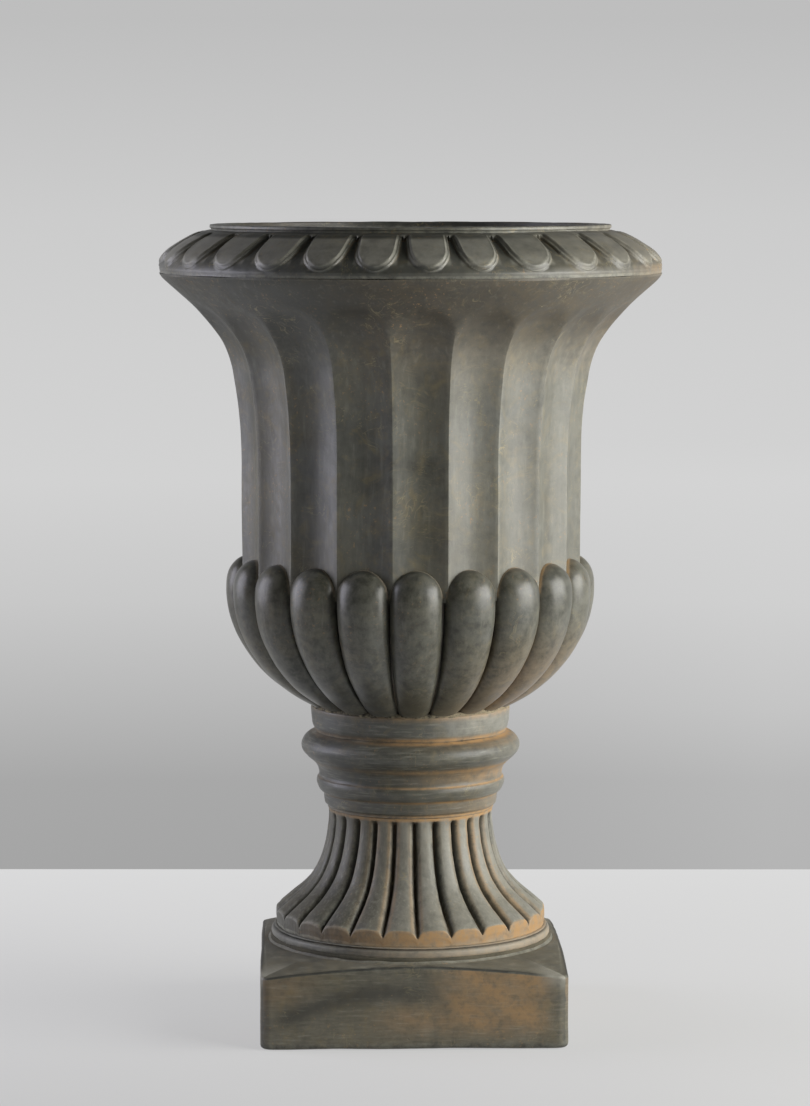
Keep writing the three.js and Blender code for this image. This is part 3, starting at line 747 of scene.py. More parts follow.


# Lime mortar of sand and a cream binder, tooled by hand: a matt crumbly line with dirt in its pores
# It takes the paler pair of tones where the wash attribute lies, right of the front, and the darker pair
# elsewhere
def limeMortar(name, look):
    material, tree, place = newMaterial(name)
    paleSide = addNode(tree, "ShaderNodeAttribute", attribute_name="wash")
    patch, crumb, sand = (addNode(tree, "ShaderNodeTexNoise", {
        0: place, "Scale": 1 / (size * mm), "Detail": detail}) for size, detail in mortar["noises"])
    tone = addNode(tree, "ShaderNodeMapRange", [patch, 0.35, 0.65])
    grounds = [addNode(tree, "ShaderNodeMix", {0: tone, 6: hexColour(dark), 7: hexColour(mid)},
                       data_type="RGBA") for dark, mid in (look["darkSide"], look["paleSide"])]
    paint = addNode(tree, "ShaderNodeMix", {
        0: paleSide.outputs["Fac"], 6: grounds[0].outputs[2], 7: grounds[1].outputs[2]}, data_type="RGBA")
    for colour, start, full in ((look["pale"], 0.42, 0.62), (mortar["dirt"], 0.42, 0.34)):
        cover = addNode(tree, "ShaderNodeMapRange", [crumb, start, full, 0, look["crumbs"]])
        paint = addNode(tree, "ShaderNodeMix", {0: cover, 6: paint.outputs[2], 7: hexColour(colour)},
                        data_type="RGBA")
    coarse = addNode(tree, "ShaderNodeBump", {
        "Strength": 0.9, "Distance": look["crumbs"] * mm, "Height": crumb})
    fine = addNode(tree, "ShaderNodeBump", {
        "Strength": 0.6, "Distance": mortar["sandRelief"] * mm, "Height": sand, "Normal": coarse})
    rough = addNode(tree, "ShaderNodeMapRange", [sand, 0, 1, *mortar["rough"]])
    shader = addNode(tree, "ShaderNodeBsdfPrincipled", {
        "IOR": 1.5, "Base Color": paint.outputs[2], "Roughness": rough, "Normal": fine})
    addNode(tree, "ShaderNodeOutputMaterial", [shader])
    return material


mortar = {
    "noises": [(26, 3), (3.2, 4), (0.9, 2)],  # mm across one patch, crumb and sand grain, and their detail
    "dirt": "#2b2823",
    "sandRelief": 0.25,
    "rough": (0.86, 0.97),
    "plinthBead": (138.4, 137.2, 137.2, 135.6),  # radii of the bead on the plinth, upwards
    "plinthBack": (132, 128, 128, 134, 136),  # and of its hidden side, downwards
    "cupReach": 96.4,
    "inner": 88,
}
# The joint under the cup is left as laid, and the one on the plinth was painted over with the castings
mortarFinish = limeMortar("limeMortar", {
    "darkSide": ("#45433b", "#65604f"), "paleSide": ("#7d745f", "#a3967c"), "pale": "#93886f", "crumbs": 0.7})
paintedMortar = limeMortar("paintedMortar", {
    "darkSide": ("#47453b", "#585446"), "paleSide": ("#504b3d", "#635c4b"), "pale": "#5e594a", "crumbs": 0.25})


# Paler right of the front, darker left of it
def mortarPaint(angle, radius, z):
    return rightHand(angle, 0, 45), 0, 0


# Fillet squeezed out under the foot ring and struck off on the plinth
def plinthMortarSection(u):
    low, high = levels("plinth_bed")
    foot = levels("foot_ring")[0] + 0.9
    skirt = plinthTop(plinth["skirtRadius"]) + 0.2
    bead = np.column_stack((mortar["plinthBead"], (skirt, skirt + 0.6, high - 0.8, foot)))
    return np.vstack((smoothCurve(bead, 10),
                      np.column_stack((mortar["plinthBack"], (foot, high, low, low, skirt)))))


ringPiece("plinthMortar", "plinth_bed", paintedMortar, turned(72, even(5), plinthMortarSection),
          waves=[(22, 0.7), (7, 0.3)], paint=mortarPaint)

# Socle: reeds between sharp grooves on a hollow flare, over a plain band
socle = {
    "reeds": 25,
    "phase": 1.3 + 180 / 25,
    "band": 131.2,
    "neck": 79.5,
    "cap": 80.5,
    "depth": 4.6,
    "slot": (1.15, 0.075),  # half width of a groove: mm, and a share of half a reed's pitch
    "round": 0.3,  # how far a reed's sides fall away from its middle, as a share of half a reed's pitch
    "end": 108,
    "runOut": (0.38, 8, 34),  # the carving gets this much shallower towards the band, between these heights
    "flare": [(80.2, 111), (79.8, 106), (79.9, 99), (80.8, 92), (82.2, 82), (85.2, 70), (89.4, 58),
              (95.2, 47), (102.4, 38), (110.6, 30), (120.4, 21.8), (130.4, 13), (140, 5)],
    "ease": 0.5,  # how softly the reeds meet the band
    "lap": 3.3,
    "joint": 1.4,
}


def socleSection(u):
    base, head = levels("socle")
    low, high = base - socle["lap"], head + socle["joint"]
    curve = smoothCurve(socle["flare"], 96)[::-1]
    pitch = math.pi * curve[:, 0] / socle["reeds"]  # half a reed's width, in mm
    aside = (1 - abs(u)) * pitch
    slot = socle["slot"][0] + socle["slot"][1] * pitch
    groove = socle["depth"] * np.exp(-(aside / slot) ** 1.8) + socle["round"] * pitch * abs(u) ** 2.3
    top = 1 - softStep(socle["end"] - 4, socle["end"] + 2.5 * (1 - u * u) ** 0.5, curve[:, 1])
    shallower, bottom, full = socle["runOut"]
    groove = groove * (1 - shallower * (1 - softStep(bottom, full, curve[:, 1])))
    sunk = curve - normalsOf(curve) * (groove * top)[:, None]
    over = socle["band"] - sunk[:, 0]
    sunk[:, 0] = socle["band"] - (np.sqrt(over ** 2 + socle["ease"] ** 2) + over) / 2
    sunk[:, 1] += base
    foot = straight([(socle["band"] - 0.6, low), (socle["band"] - 0.3, sunk[0, 1] - 0.5)], 7)
    neck = straight([(socle["neck"], sunk[-1, 1] + 0.3), (socle["cap"], high)], 3)
    return np.vstack((foot, sunk, neck, closing(socle["cap"], high, low, socle["band"] - 0.6, 4, 6, 6)))


# Ochre on the band, at the neck and here and there beside the grooves; painted shade in the grooves; the band
# darker on the left, band and neck paler on the right, pale dry-brush on the reeds' crests right of the
# front; darker inside
def soclePaint(angle, radius, z):
    low, high = levels("socle")
    band = softStep(socle["band"] - 1.2, socle["band"] - 0.4, radius) * (z < low + 22)
    neck = softStep(high - 3, high - 0.5, z)
    aside = (1 - acrossOne(angle, socle["phase"], socle["reeds"])) * math.pi * radius / socle["reeds"]
    groove = hump(aside, 0, 2.6) * (1 - softStep(high - 3, high, z)) * (1 - band)
    patchy = 0.5 + 0.5 * np.sin(np.radians(angle * 5.3 + z * 0.9 + 40))
    beside = 0.62 * patchy * hump(aside, 4.5, 2) * (1 - band)
    crest = 0.5 * softStep(3.5, 7, aside) * (1 - band) * rightHand(angle, -40, 10)
    right = rightHand(angle, -70, 20)
    ochre = (band + beside) * right + neck * (0.4 + 0.6 * right)
    sootAndShade = 0.5 * band * (1 - right) + 0.8 * groove
    chalkAndLight = crest + (0.42 * band + 0.2 * neck) * rightHand(angle, -50, 20)
    return within(radius < plinth["shaft"] + 2, (0, 0.3, 0), (ochre, sootAndShade, chalkAndLight))


socleStone = patinatedStone("castStoneSocle", {
    "streak": (2.6, 2.6, 22), "shift": (0.5, 0.5, 0.1), "dark": "#46453d", "mid": "#767468",
    "tone": (1.3, 0.8, 1.3), "slate": 0.3, "umber": 0.3, "pale": 0.4, "worn": 0.6, "ochre": 0.2,
    "deep": (0.15, 0.9), "flecks": 0.4, "smear": 0.2, "curls": 0.15, "pits": 0.25, "rough": (0.4, 0.62),
    "relief": 0.12, "swell": 0.35})
ringPiece("socleCasting", "socle", socleStone, turned(socle["reeds"], crowded(27), socleSection),
          phase=socle["phase"], waves=[(45, 0.6), (12, 0.2)], paint=soclePaint)

# Knop: band, ring, scotia and torus
knop = {
    "curves": [
        [20, (80.8, -1.4), (81.4, 1), (83.4, 3), (84.2, 7), (84.8, 13.2)],
        [24, (85.6, 14.2), (87.8, 15.4), (90, 19), (91.6, 24), (91.1, 27.6), (90.6, 28.6)],
        [24, (89.7, 29.4), (89.2, 33), (90.8, 39), (94.7, 44), (100.9, 49.5)],
        [34, (101.3, 50), (104.9, 54.5), (106.3, 60), (104.5, 65.5), (100.1, 70), (94.7, 72.4), (92, 73.9)],
    ],
    "closing": (91.5, 80.8, 5),
}


def knopSection(u):
    return castingSection(knop, "knop")


# Ochre in each crease, thickest in the scotia and under the torus; painted shade in the scotia and under the
# torus on the left; paler on the right
def knopPaint(angle, radius, z):
    low, high = levels("knop")
    lines = bands(z, (low, 1.4, 0.9), (low + 14.2, 1.0, 1.0), (low + 29, 0.9, 0.9), (low + 45, 2, 0.6),
                  (high, 1.4, 1.0))
    spread = bands(z, (low + 38, 7, 0.55), (low + 3, 3, 0.25), (high - 4, 3, 0.25), (low + 10, 4, 0.2))
    right = rightHand(angle, -45, 25)
    ochre = lines * (0.2 + 0.8 * right) + spread * rightHand(angle, -20, 60)
    sootAndShade = bands(z, (low + 34, 5, 0.4), (low + 51, 4, 0.4)) * (1 - right)
    return ochre, sootAndShade, 0.3 * rightHand(angle, 25, 80)


knopStone = patinatedStone("castStoneKnop", {
    "streak": (24, 24, 1.9), "shift": (0.9, 0.3, 0.6), "dark": "#363731", "mid": "#63635b",
    "tone": (1.2, 0.7, 1.3), "slate": 0.35, "umber": 0.3, "pale": 0.4, "worn": 0.25, "ochre": 0.3,
    "deep": (0.35, 1.0), "flecks": 0.45, "smear": 0.35, "curls": 0.1, "pits": 0.08, "rough": (0.36, 0.54),
    "relief": 0.1, "swell": 0.35})
ringPiece("knopCasting", "knop", knopStone, turned(24, even(11), knopSection),
          waves=[(45, 0.6), (12, 0.18)], sharp=40, paint=knopPaint)

# Collar: plain band, a little hollow, under the cup
collar = {
    "curves": [[30, (92.8, -1.4), (93.6, 1), (95.2, 5), (96.1, 12), (96.6, 19), (96.6, 21.6), (95.2, 23.4)]],
    "closing": (94.6, 92.6, 4),
}


def collarSection(u):
    return castingSection(collar, "collar")


# Ochre at the foot and the top, thicker on the right, and painted light on the right side
def collarPaint(angle, radius, z):
    low, high = levels("collar")
    ochre = bands(z, (low, 2, 0.9), (high, 3, 0.5)) * (0.3 + 0.7 * rightHand(angle))
    return ochre, 0, 0.5 * rightHand(angle, -5, 45)


ringPiece("collarCasting", "collar", knopStone, turned(24, even(11), collarSection),
          waves=[(40, 0.8), (10, 0.25)], paint=collarPaint)


# Uneven bead of mortar between the collar and the lobes
def cupMortarSection(u):
    low, high = levels("cup_bed")
    bulge = roll(mortar["cupReach"] - 2.2, mortar["cupReach"], low - 1.6, high + 2.0, 9)
    return np.vstack((bulge, [(mortar["inner"], high + 1), (mortar["inner"], low - 0.6)]))


ringPiece("cupMortar", "cup_bed", mortarFinish, turned(60, even(5), cupMortarSection),
          waves=[(16, 1.6), (6, 1.1)], paint=mortarPaint)

drain = {"back": 40, "radius": 9, "cut": (0.3, 0.345)}  # hole in the cup's floor; the cut is in metres

# Cup: twenty lobes that end in thumbs in front of the bell
cup = {
    "lobes": 20,
    "phase": 0.4,
    "crest": 179.0,
    "crestHigh": 113,
    "curve": 136,
    "shelfHigh": 117,
    "thumb": 28,
    "floor": 26,
    "well": 120,
    "wellRadius": 147,
    "bore": 10,
    "groove": 5.0,  # deeper than the solid's plain valleys
    "width": 0.985,  # of a lobe, as a share of its pitch, and at its foot
    "footWidth": 0.95,
    "tuck": 2.0,  # how far the thumbs' edges sink into the bell
    "joint": 1.4,
}
bell = {
    "flutes": 20,
    "radius": 165.4,
    "depth": 7.2,
    "archHigh": 274.5,
    "archRise": 24,
    "archFade": 18,
    "inside": [(198, 298), (182.7, 269), (165.4, 239), (153.6, 209), (148, 167), (147, 120), (147, 60),
               (147, 0)],
    "tuck": 5,
    "joint": 1.0,
    "arris": 1.0,
    "flare": [(0, 0), (0.25, 0), (0.455, 0.005), (0.572, 0.036), (0.649, 0.079), (0.708, 0.12),
              (0.747, 0.168), (0.786, 0.241), (0.824, 0.344), (0.863, 0.469), (0.902, 0.605),
              (0.94, 0.762), (0.98, 0.935), (1, 1)],
}


def fluteHollow(u):
    half = math.pi * bell["radius"] / bell["flutes"]
    aside = (1 - np.abs(u)) * half
    soft = (np.sqrt(aside ** 2 + bell["arris"] ** 2) - bell["arris"]) / half
    return bell["depth"] * (2 * soft - soft ** 2)


# Columns: the lobe takes most of them, its valley the last on either side
lobeShare = 0.9
cupColumns = [-1, *(lobeShare * np.sin(np.linspace(-math.pi / 2, math.pi / 2, 23))), 1]


def cupSection(t):
    foot = levels("cup")[0]
    crestHigh, shelf = foot + cup["crestHigh"], foot + cup["shelfHigh"]
    inLobe = min(1, abs(t) / lobeShare)
    inValley = max(0, (abs(t) - lobeShare) / (1 - lobeShare))

    def across(z):
        width = cup["footWidth"] + (cup["width"] - cup["footWidth"]) * softStep(0, 70, z - foot)
        return math.copysign(1, t) * (width * inLobe + (1 - width) * inValley)

    u = float(across(shelf))
    back = bell["radius"] - fluteHollow(u) - cup["tuck"]
    side = math.sqrt(max(0, 1 - inLobe ** 2))
    share = np.linspace(0, 1, 60) ** 1.35
    high = foot - cup["joint"] + (cup["shelfHigh"] + cup["joint"]) * share
    curve = np.sqrt(1 - ((crestHigh - high) / cup["curve"]) ** 2)
    base = (bell["radius"] - cup["groove"]) * curve
    outer = np.column_stack((base + (cup["crest"] * curve - base) * side, high))
    bend = math.pi / 2 * (1 - (1 - np.linspace(0, 1, 26)[1:]) ** 1.5)
    lowRadius = outer[-1, 0]
    thumb = np.column_stack((
        back + (lowRadius - back) * np.cos(bend), shelf + cup["thumb"] * side * np.sin(bend)))
    floor = foot + cup["floor"]
    wellHigh = floor + (shelf - floor) * np.sin(np.linspace(math.pi / 2, 0, 16))
    well = np.column_stack((
        cup["wellRadius"] * np.sqrt(1 - ((shelf - wellHigh) / cup["well"]) ** 2), wellHigh))
    bore = cup["bore"]
    section = np.vstack((
        outer, thumb, straight([(back - 1, shelf), (cup["wellRadius"] + 2, shelf)], 3), well,
        straight([(well[-1, 0] - 4, floor), (bore, floor), (bore, foot)], 6, 3),
        straight([(bore, foot - 0.1), (outer[0, 0] - 2, foot - cup["joint"])], 6)))
    return np.column_stack((section, across(section[:, 1])))


# Ochre round the thumbs, in the valleys and towards the foot; painted shade in the valleys, on the lobes left
# of the front, and on the thumbs' tops from the front to the right, where it dims their highlight; pale rims
# round the thumbs, the lobes a little paler to the right, and darker inside
def cupPaint(angle, radius, z):
    rise = z - levels("cup")[0]
    across = acrossOne(angle, cup["phase"], cup["lobes"])
    under = np.maximum(cup["crestHigh"] - rise, 0)
    curve = np.sqrt(np.clip(1 - (under / cup["curve"]) ** 2, 0, 1))
    valley = 1 - softStep(2, 9, radius - (bell["radius"] - cup["groove"]) * curve)
    overBell = radius + fluteHollow(across) - bell["radius"]
    thumbEdge = softStep(cup["shelfHigh"], cup["shelfHigh"] + 4, rise) * (1 - softStep(0.6, 3.2, overBell))
    right = rightHand(angle, 5, 55)
    low = 0.32 * (1 - softStep(20, 100, rise))
    shade = 0.22 * (1 - rightHand(angle, -20, 40))
    shade += 0.25 * softStep(-12, 8, rise - cup["shelfHigh"]) * rightHand(angle, -25, 5)
    ochre = (0.25 + 0.5 * right) * thumbEdge + low * right + 0.15 * right * valley
    sootAndShade = np.maximum(0.8 * valley, shade) * (1 - thumbEdge)
    chalkAndLight = 0.65 * thumbEdge + 0.14 * rightHand(angle, 30, 80)
    well = cup["wellRadius"] * np.sqrt(np.clip(1 - ((cup["shelfHigh"] - rise) / cup["well"]) ** 2, 0, 1))
    inside = (radius < well + 3) & (rise > cup["floor"] - 1)
    return within(inside, (0.25, 0.4, 0), (ochre, sootAndShade, chalkAndLight))


cupStone = patinatedStone("castStoneCup", {
    "streak": (4, 4, 30), "shift": (0.2, 0.8, 0.5), "dark": "#363731", "mid": "#5a594f",
    "tone": (1.9, 0.35, 0.8), "slate": 0.4, "umber": 0.35, "pale": 0.14, "worn": 0.15, "ochre": 0.1,
    "deep": (0.6, 1.0), "flecks": 0.3, "smear": 0.28, "curls": 0.12, "pits": 0.14, "rough": (0.285, 0.4),
    "relief": 0.06, "swell": 0.25})
ringPiece("cupCasting", "cup", cupStone, turned(cup["lobes"], cupColumns, cupSection),
          phase=cup["phase"], waves=[(55, 0.9), (13, 0.2)], paint=cupPaint,
          hole=((0, drain["back"] * mm), drain["radius"] * mm, *drain["cut"]))


# Bell: flutes between sharp arrises, arched at the top, under a smooth flare
def bellSection(u):
    low, high = levels("bell")
    foot, top = low - bell["tuck"], high + bell["joint"]
    topRadius = reach("bell") - 0.7
    curve = smoothCurve(bell["flare"], 150)
    z = low + (high - low) * curve[:, 0]
    z[0], z[-1] = foot, top
    radius = bell["radius"] + (topRadius - bell["radius"]) * curve[:, 1]
    arch = low + bell["archHigh"] - bell["archRise"] * (1 - math.sqrt(max(0, 1 - 0.92 * u * u)))
    fade = 1 - softStep(arch - bell["archFade"], arch, z)
    outer = np.column_stack((radius - fluteHollow(u) * fade, z))
    inner = smoothCurve(bell["inside"], 26) + (0, low)
    return np.vstack((outer, straight([(topRadius - 3, top), (inner[0, 0] + 3, top)], 4), inner,
                      straight([(inner[-1, 0], foot), (bell["radius"] - bell["depth"] - 1, foot)], 3)))


# Painted shade on the flare under the rim, lighter on the right, with a little ochre smeared below it;
# painted sheen on the flutes right of the front; earth stains low inside, and darker inside
def bellPaint(angle, radius, z):
    rise = z - levels("bell")[0]
    flare = softStep(215, 262, rise) * (0.7 - 0.12 * rightHand(angle, -10, 60))
    smears = softStep(180, 240, rise) * (0.07 * rightHand(angle, -35, 0) + 0.06 * rightHand(angle, 50, 80))
    chalkAndLight = 0.22 * rightHand(angle, 0, 22) * (1 - 0.8 * softStep(225, 262, rise))
    inside = radius < 148 + 36 * softStep(160, 297, rise)
    return within(inside, (0.3 * (1 - softStep(60, 150, rise)), 0.35, 0), (smears, flare, chalkAndLight))


# The hand was out by a degree here and there, so the flutes aren't quite even
def bellWarp(angle):
    return 1.4 * hump(angle, 2, 30) - 0.9 * hump(angle, 64, 14)


bellStone = patinatedStone("castStoneBell", {
    "streak": (5, 5, 34), "shift": (0.1, 0.4, 0.9), "dark": "#42423b", "mid": "#6f6f66",
    "tone": (1.8, 0.8, 0.7), "slate": 0.3, "umber": 0.45, "pale": 0.16, "worn": 0.1, "ochre": 0.15,
    "deep": (0.5, 1.0), "flecks": 0.5, "smear": 0.45, "curls": 0.3, "pits": 0.12, "rough": (0.36, 0.54),
    "relief": 0.07, "swell": 0.35})
ringPiece("bellCasting", "bell", bellStone, turned(bell["flutes"], crowded(17), bellSection),
          phase=cup["phase"], waves=[(80, 1.1), (16, 0.2)], sharp=24, passes=6, paint=bellPaint,
          warp=bellWarp)

# Rim: ovolo with bordered tongues pointing down
rim = {
    "tongues": 28,
    "phase": 2.7,
    "topRadius": 195,
    "fascia": 3.5,
    "fasciaIn": 1.6,  # the tongues' ends stand this far proud of it
    "shoulder": 0.2,  # of the ovolo's rise, kept for its last stretch below the lip
    "relief": 4.8,  # how deep the ground lies between the tongues, higher up
    "halfWidth": 21.4,  # of a tongue
    "end": 29,  # length of a tongue's rounded end
    "step": (0.56, 4.8),  # outer step of a tongue: height as a share of the relief, and width up to the pad
    "plainTop": (7, 12),  # mm below the lip that stay uncarved, over a pad's middle and over a gap
    "tongueFoot": 0.4,  # mm along the ovolo from its springing to the tip of a tongue
    "inner": 181,
    "innerLow": 198,
    "joint": 2.0,
    "lap": 2.0,  # up to the underside of the lip
}


# Height of the carving over its ground, up to 1: a low step round the outside, a hollow slope and a sharp pad
def tongueHeight(x, y, halfWidth):
    centre = rim["tongueFoot"] + rim["end"]
    fromEnd = rim["halfWidth"] * (1 - np.hypot(x / halfWidth, (y - centre) / rim["end"]))
    inside = np.where(y < centre, fromEnd, halfWidth - np.abs(x))
    low, width = rim["step"]
    step = low * softStep(-0.2, 1.3, inside) - 0.05 * hump(inside, 2.4, 0.7)
    slope = (0.98 - low) * softStep(1.9, width, inside) ** 1.3
    pad = 0.05 * hump(inside, width, 0.7) + 0.05 * softStep(width, rim["halfWidth"], inside)
    return step + slope + pad - 0.03


# Columns follow the sides of the tongue, closest together over its border
tongueShare = 0.82
tongueSide = [*np.linspace(0, 0.5, 7)[:-1], *np.linspace(0.5, tongueShare, 12),
              *np.linspace(tongueShare, 1, 5)[1:]]
rimColumns = [-t for t in tongueSide[:0:-1]] + tongueSide


def rimSection(t):
    low, high = levels("rim")
    foot, top = low - rim["joint"], high + rim["lap"]
    outerRadius = reach("rim") + 0.2
    springing = low + rim["fascia"]
    width, rise = outerRadius - rim["topRadius"], top - springing
    bend = math.pi / 2 * np.linspace(0, 1, 56) ** 1.25
    lift = (1 - rim["shoulder"]) * np.sin(bend) + rim["shoulder"] * np.sin(bend) ** 8
    curve = np.column_stack((rim["topRadius"] + width * np.cos(bend), springing + rise * lift))
    along = np.concatenate(([0], np.cumsum(np.linalg.norm(np.diff(curve, axis=0), axis=1))))
    half = math.pi * curve[:, 0] / rim["tongues"]
    halfWidth = np.minimum(rim["halfWidth"], 0.965 * half)
    edge = halfWidth / half
    u = np.where(abs(t) < tongueShare, abs(t) / tongueShare * edge,
                 edge + (abs(t) - tongueShare) / (1 - tongueShare) * (1 - edge)) * math.copysign(1, t)
    # The ground sinks slowly away from the fascia, and the tongues keep to the full curve
    sink = rim["fasciaIn"] + (rim["relief"] - rim["fasciaIn"]) * (1 - np.exp(-along / 11))
    # Just below the lip the carving runs out into a plain hollow, along an arch over each tongue
    overPad, overGap = rim["plainTop"]
    plainEnd = along[-1] - overPad - (overGap - overPad) * min(1, abs(t)) ** 3
    plain = softStep(plainEnd - 0.8, plainEnd + 1.2, along)
    depth = (1 - plain) * (1 - tongueHeight(u * half, along, halfWidth))
    depth += plain * 0.3 * (1 - (along / along[-1]) ** 8)
    carved = curve - normalsOf(curve) * (sink * depth)[:, None]
    face = outerRadius - rim["fasciaIn"]
    fascia = straight([(face - 0.9, foot), (face, springing - 0.6)], 5)
    back = straight([(rim["topRadius"] - 2, top), (rim["inner"], top), (rim["innerLow"], foot),
                     (face - 2, foot)], 3, 5, 4)
    ownU = [*[u[0]] * len(fascia), *u, *[u[-1]] * len(back)]
    return np.column_stack((np.vstack((fascia, carved, back)), ownU))


# The tongues were set out by eye: a little bunched to the right of the front
def rimWarp(angle):
    return 1.6 * hump(angle, -32, 26) - 2.1 * hump(angle, 23, 15)


# Painted shade down the narrow gaps and in the plain hollow under the lip on the left, painted light in that
# hollow on the right; the fascia darker on the left and paler on the right; pale rubbing on the pads
def rimPaint(angle, radius, z):
    low, high = levels("rim")
    across = acrossOne(angle - rimWarp(angle), rim["phase"], rim["tongues"])
    aside = (1 - across) * math.pi * radius / rim["tongues"]
    plain = softStep(high - 4, high - 1.5, z)
    gap = hump(aside, 0, 1.6) * softStep(low + 15, low + 26, z) * (1 - plain)
    pad = softStep(4, 6.5, aside) * softStep(low + 9, low + 13, z) * (1 - plain)
    fascia = 1 - softStep(low + 6, low + 9, z)
    right = rightHand(angle, -5, 35)
    ochre = 0.1 * rightHand(angle, 20, 90) + 0.25 * fascia * rightHand(angle, 50, 80)
    sootAndShade = 0.75 * gap + 0.5 * plain * (1 - right) + 0.32 * fascia * (1 - rightHand(angle, 0, 40))
    chalkAndLight = (0.6 - 0.3 * right) * pad + (0.07 * fascia + 0.2 * plain) * right
    return within(radius < rim["topRadius"] - 1, (ochre, 0.3, 0), (ochre, sootAndShade, chalkAndLight))


rimStone = patinatedStone("castStoneRim", {
    "streak": (14, 14, 8), "shift": (0.6, 0.7, 0.3), "dark": "#41423d", "mid": "#6c6d66",
    "tone": (1.6, 0.9, 0.5), "slate": 0.4, "umber": 0.3, "pale": 0.14, "worn": 0.35, "ochre": 0.3,
    "deep": (0.55, 1.0), "flecks": 0.5, "smear": 0.3, "curls": 0.25, "pits": 0.12, "rough": (0.34, 0.5),
    "relief": 0.06, "swell": 0.3})
ringPiece("rimCasting", "rim", rimStone, turned(rim["tongues"], rimColumns, rimSection),
          phase=rim["phase"], waves=[(80, 1.1), (11, 0.22)], sharp=55, paint=rimPaint, warp=rimWarp)

# Lip ring: a flat land with rounded edges
lip = {"outer": reach("lip_ring"), "inner": 179, "round": 1.3, "face": 3.4, "quirk": 1.3, "joint": 1.2}


def lipSection(u):
    low, high = levels("lip_ring")
    low -= lip["joint"]
    outer, inner, face = lip["outer"], lip["inner"], high - lip["face"]
    back = outer - lip["quirk"]  # the face overhangs a shallow quirk
    return np.vstack((
        [(back, low), (back, face - 0.5), (back + 0.3, face), (outer - 0.4, face + 0.1), (outer, face + 0.6)],
        roundedEdge(outer, high, lip["round"], 6), straight([(outer - 3, high), (inner + 3, high)], 5),
        roundedEdge(inner, high, lip["round"], 6, out=-1)[::-1],
        straight([(inner, high - lip["round"] - 0.4), (inner, low), (back, low)], 4, 5)))


# Painted shade on the inner face, a little dark paint elsewhere, and a little ochre and paler tone on the
# right
def lipPaint(angle, radius, z):
    sootAndShade = np.where(radius < lip["inner"] + 2, 0.5, 0.12)
    return 0.1 * rightHand(angle, 20, 80), sootAndShade, 0.15 * rightHand(angle, 0, 50)


ringPiece("lipCasting", "lip_ring", rimStone, turned(28, even(11), lipSection),
          waves=[(45, 0.8), (10, 0.3)], paint=lipPaint)

zinc = {"dark": "#8f949a", "light": "#b9bcbe", "bloom": "#a8a69c", "cloud": 7, "spangle": 4,
        "rough": (0.34, 0.58), "relief": 0.08}


# Zinc-plated mild steel, rolled and cut: dull blue-grey metal with cloudy spangle and a little white bloom
def zincPlate():
    material, tree, place = newMaterial("zincPlatedSteel")
    cloud = addNode(tree, "ShaderNodeTexNoise", {0: place, "Scale": 1 / (zinc["cloud"] * mm), "Detail": 4})
    spangle = addNode(tree, "ShaderNodeTexVoronoi", {0: place, "Scale": 1 / (zinc["spangle"] * mm)})
    grey = addNode(tree, "ShaderNodeSeparateColor", [spangle.outputs["Color"]])
    plate = addNode(tree, "ShaderNodeMix", {0: grey, 6: hexColour(zinc["dark"]), 7: hexColour(zinc["light"])},
                    data_type="RGBA")
    bloomShare = addNode(tree, "ShaderNodeMapRange", [cloud, 0.56, 0.7, 0, 0.6])
    bloom = addNode(tree, "ShaderNodeMix", {0: bloomShare, 6: plate.outputs[2], 7: hexColour(zinc["bloom"])},
                    data_type="RGBA")
    rough = addNode(tree, "ShaderNodeMapRange", [cloud, 0.3, 0.7, *zinc["rough"]])
    bump = addNode(tree, "ShaderNodeBump", {
        "Strength": 0.3, "Distance": zinc["relief"] * mm, "Height": cloud})
    shader = addNode(tree, "ShaderNodeBsdfPrincipled", {
        "Metallic": 1.0, "Base Color": bloom.outputs[2], "Roughness": rough, "Normal": bump})
    addNode(tree, "ShaderNodeOutputMaterial", [shader])
    return material


rubber = {"black": "#1b1b1c", "dusty": "#3a3936", "dust": 9, "skin": 0.8, "rough": (0.6, 0.85), "relief": 0.1}


# Moulded black EPDM rubber: matt, with a faint grey bloom of dust
def mouldedRubber():
    material, tree, place = newMaterial("mouldedRubber")
    dust = addNode(tree, "ShaderNodeTexNoise", {0: place, "Scale": 1 / (rubber["dust"] * mm), "Detail": 5})
    skin = addNode(tree, "ShaderNodeTexNoise", {0: place, "Scale": 1 / (rubber["skin"] * mm), "Detail": 2})
    lies = addNode(tree, "ShaderNodeMapRange", [dust, 0.4, 0.75])
    paint = addNode(tree, "ShaderNodeMix", {
        0: lies, 6: hexColour(rubber["black"]), 7: hexColour(rubber["dusty"])}, data_type="RGBA")
    rough = addNode(tree, "ShaderNodeMapRange", [lies, 0, 1, *rubber["rough"]])
    bump = addNode(tree, "ShaderNodeBump", {
        "Strength": 0.35, "Distance": rubber["relief"] * mm, "Height": skin})
    shader = addNode(tree, "ShaderNodeBsdfPrincipled", {
        "IOR": 1.5, "Base Color": paint.outputs[2], "Roughness": rough, "Normal": bump})
    addNode(tree, "ShaderNodeOutputMaterial", [shader])
    return material


steelFinish = zincPlate()
rubberFinish = mouldedRubber()
fitting = {
    "bore": 8.3,
    "apothem": 12.12,  # half the width of a nut across its flats
    "chamfer": 1.9,
    "rows": [0, 0.3, 0.7, 1.2, 1.9, 2.6],  # mm from a nut's face
    "edge": 0.9,
    "sealEdge": 1.2,
    "sealBulge": 0.2,
    "barCorner": 3,
    "barEdge": 1.2,
}


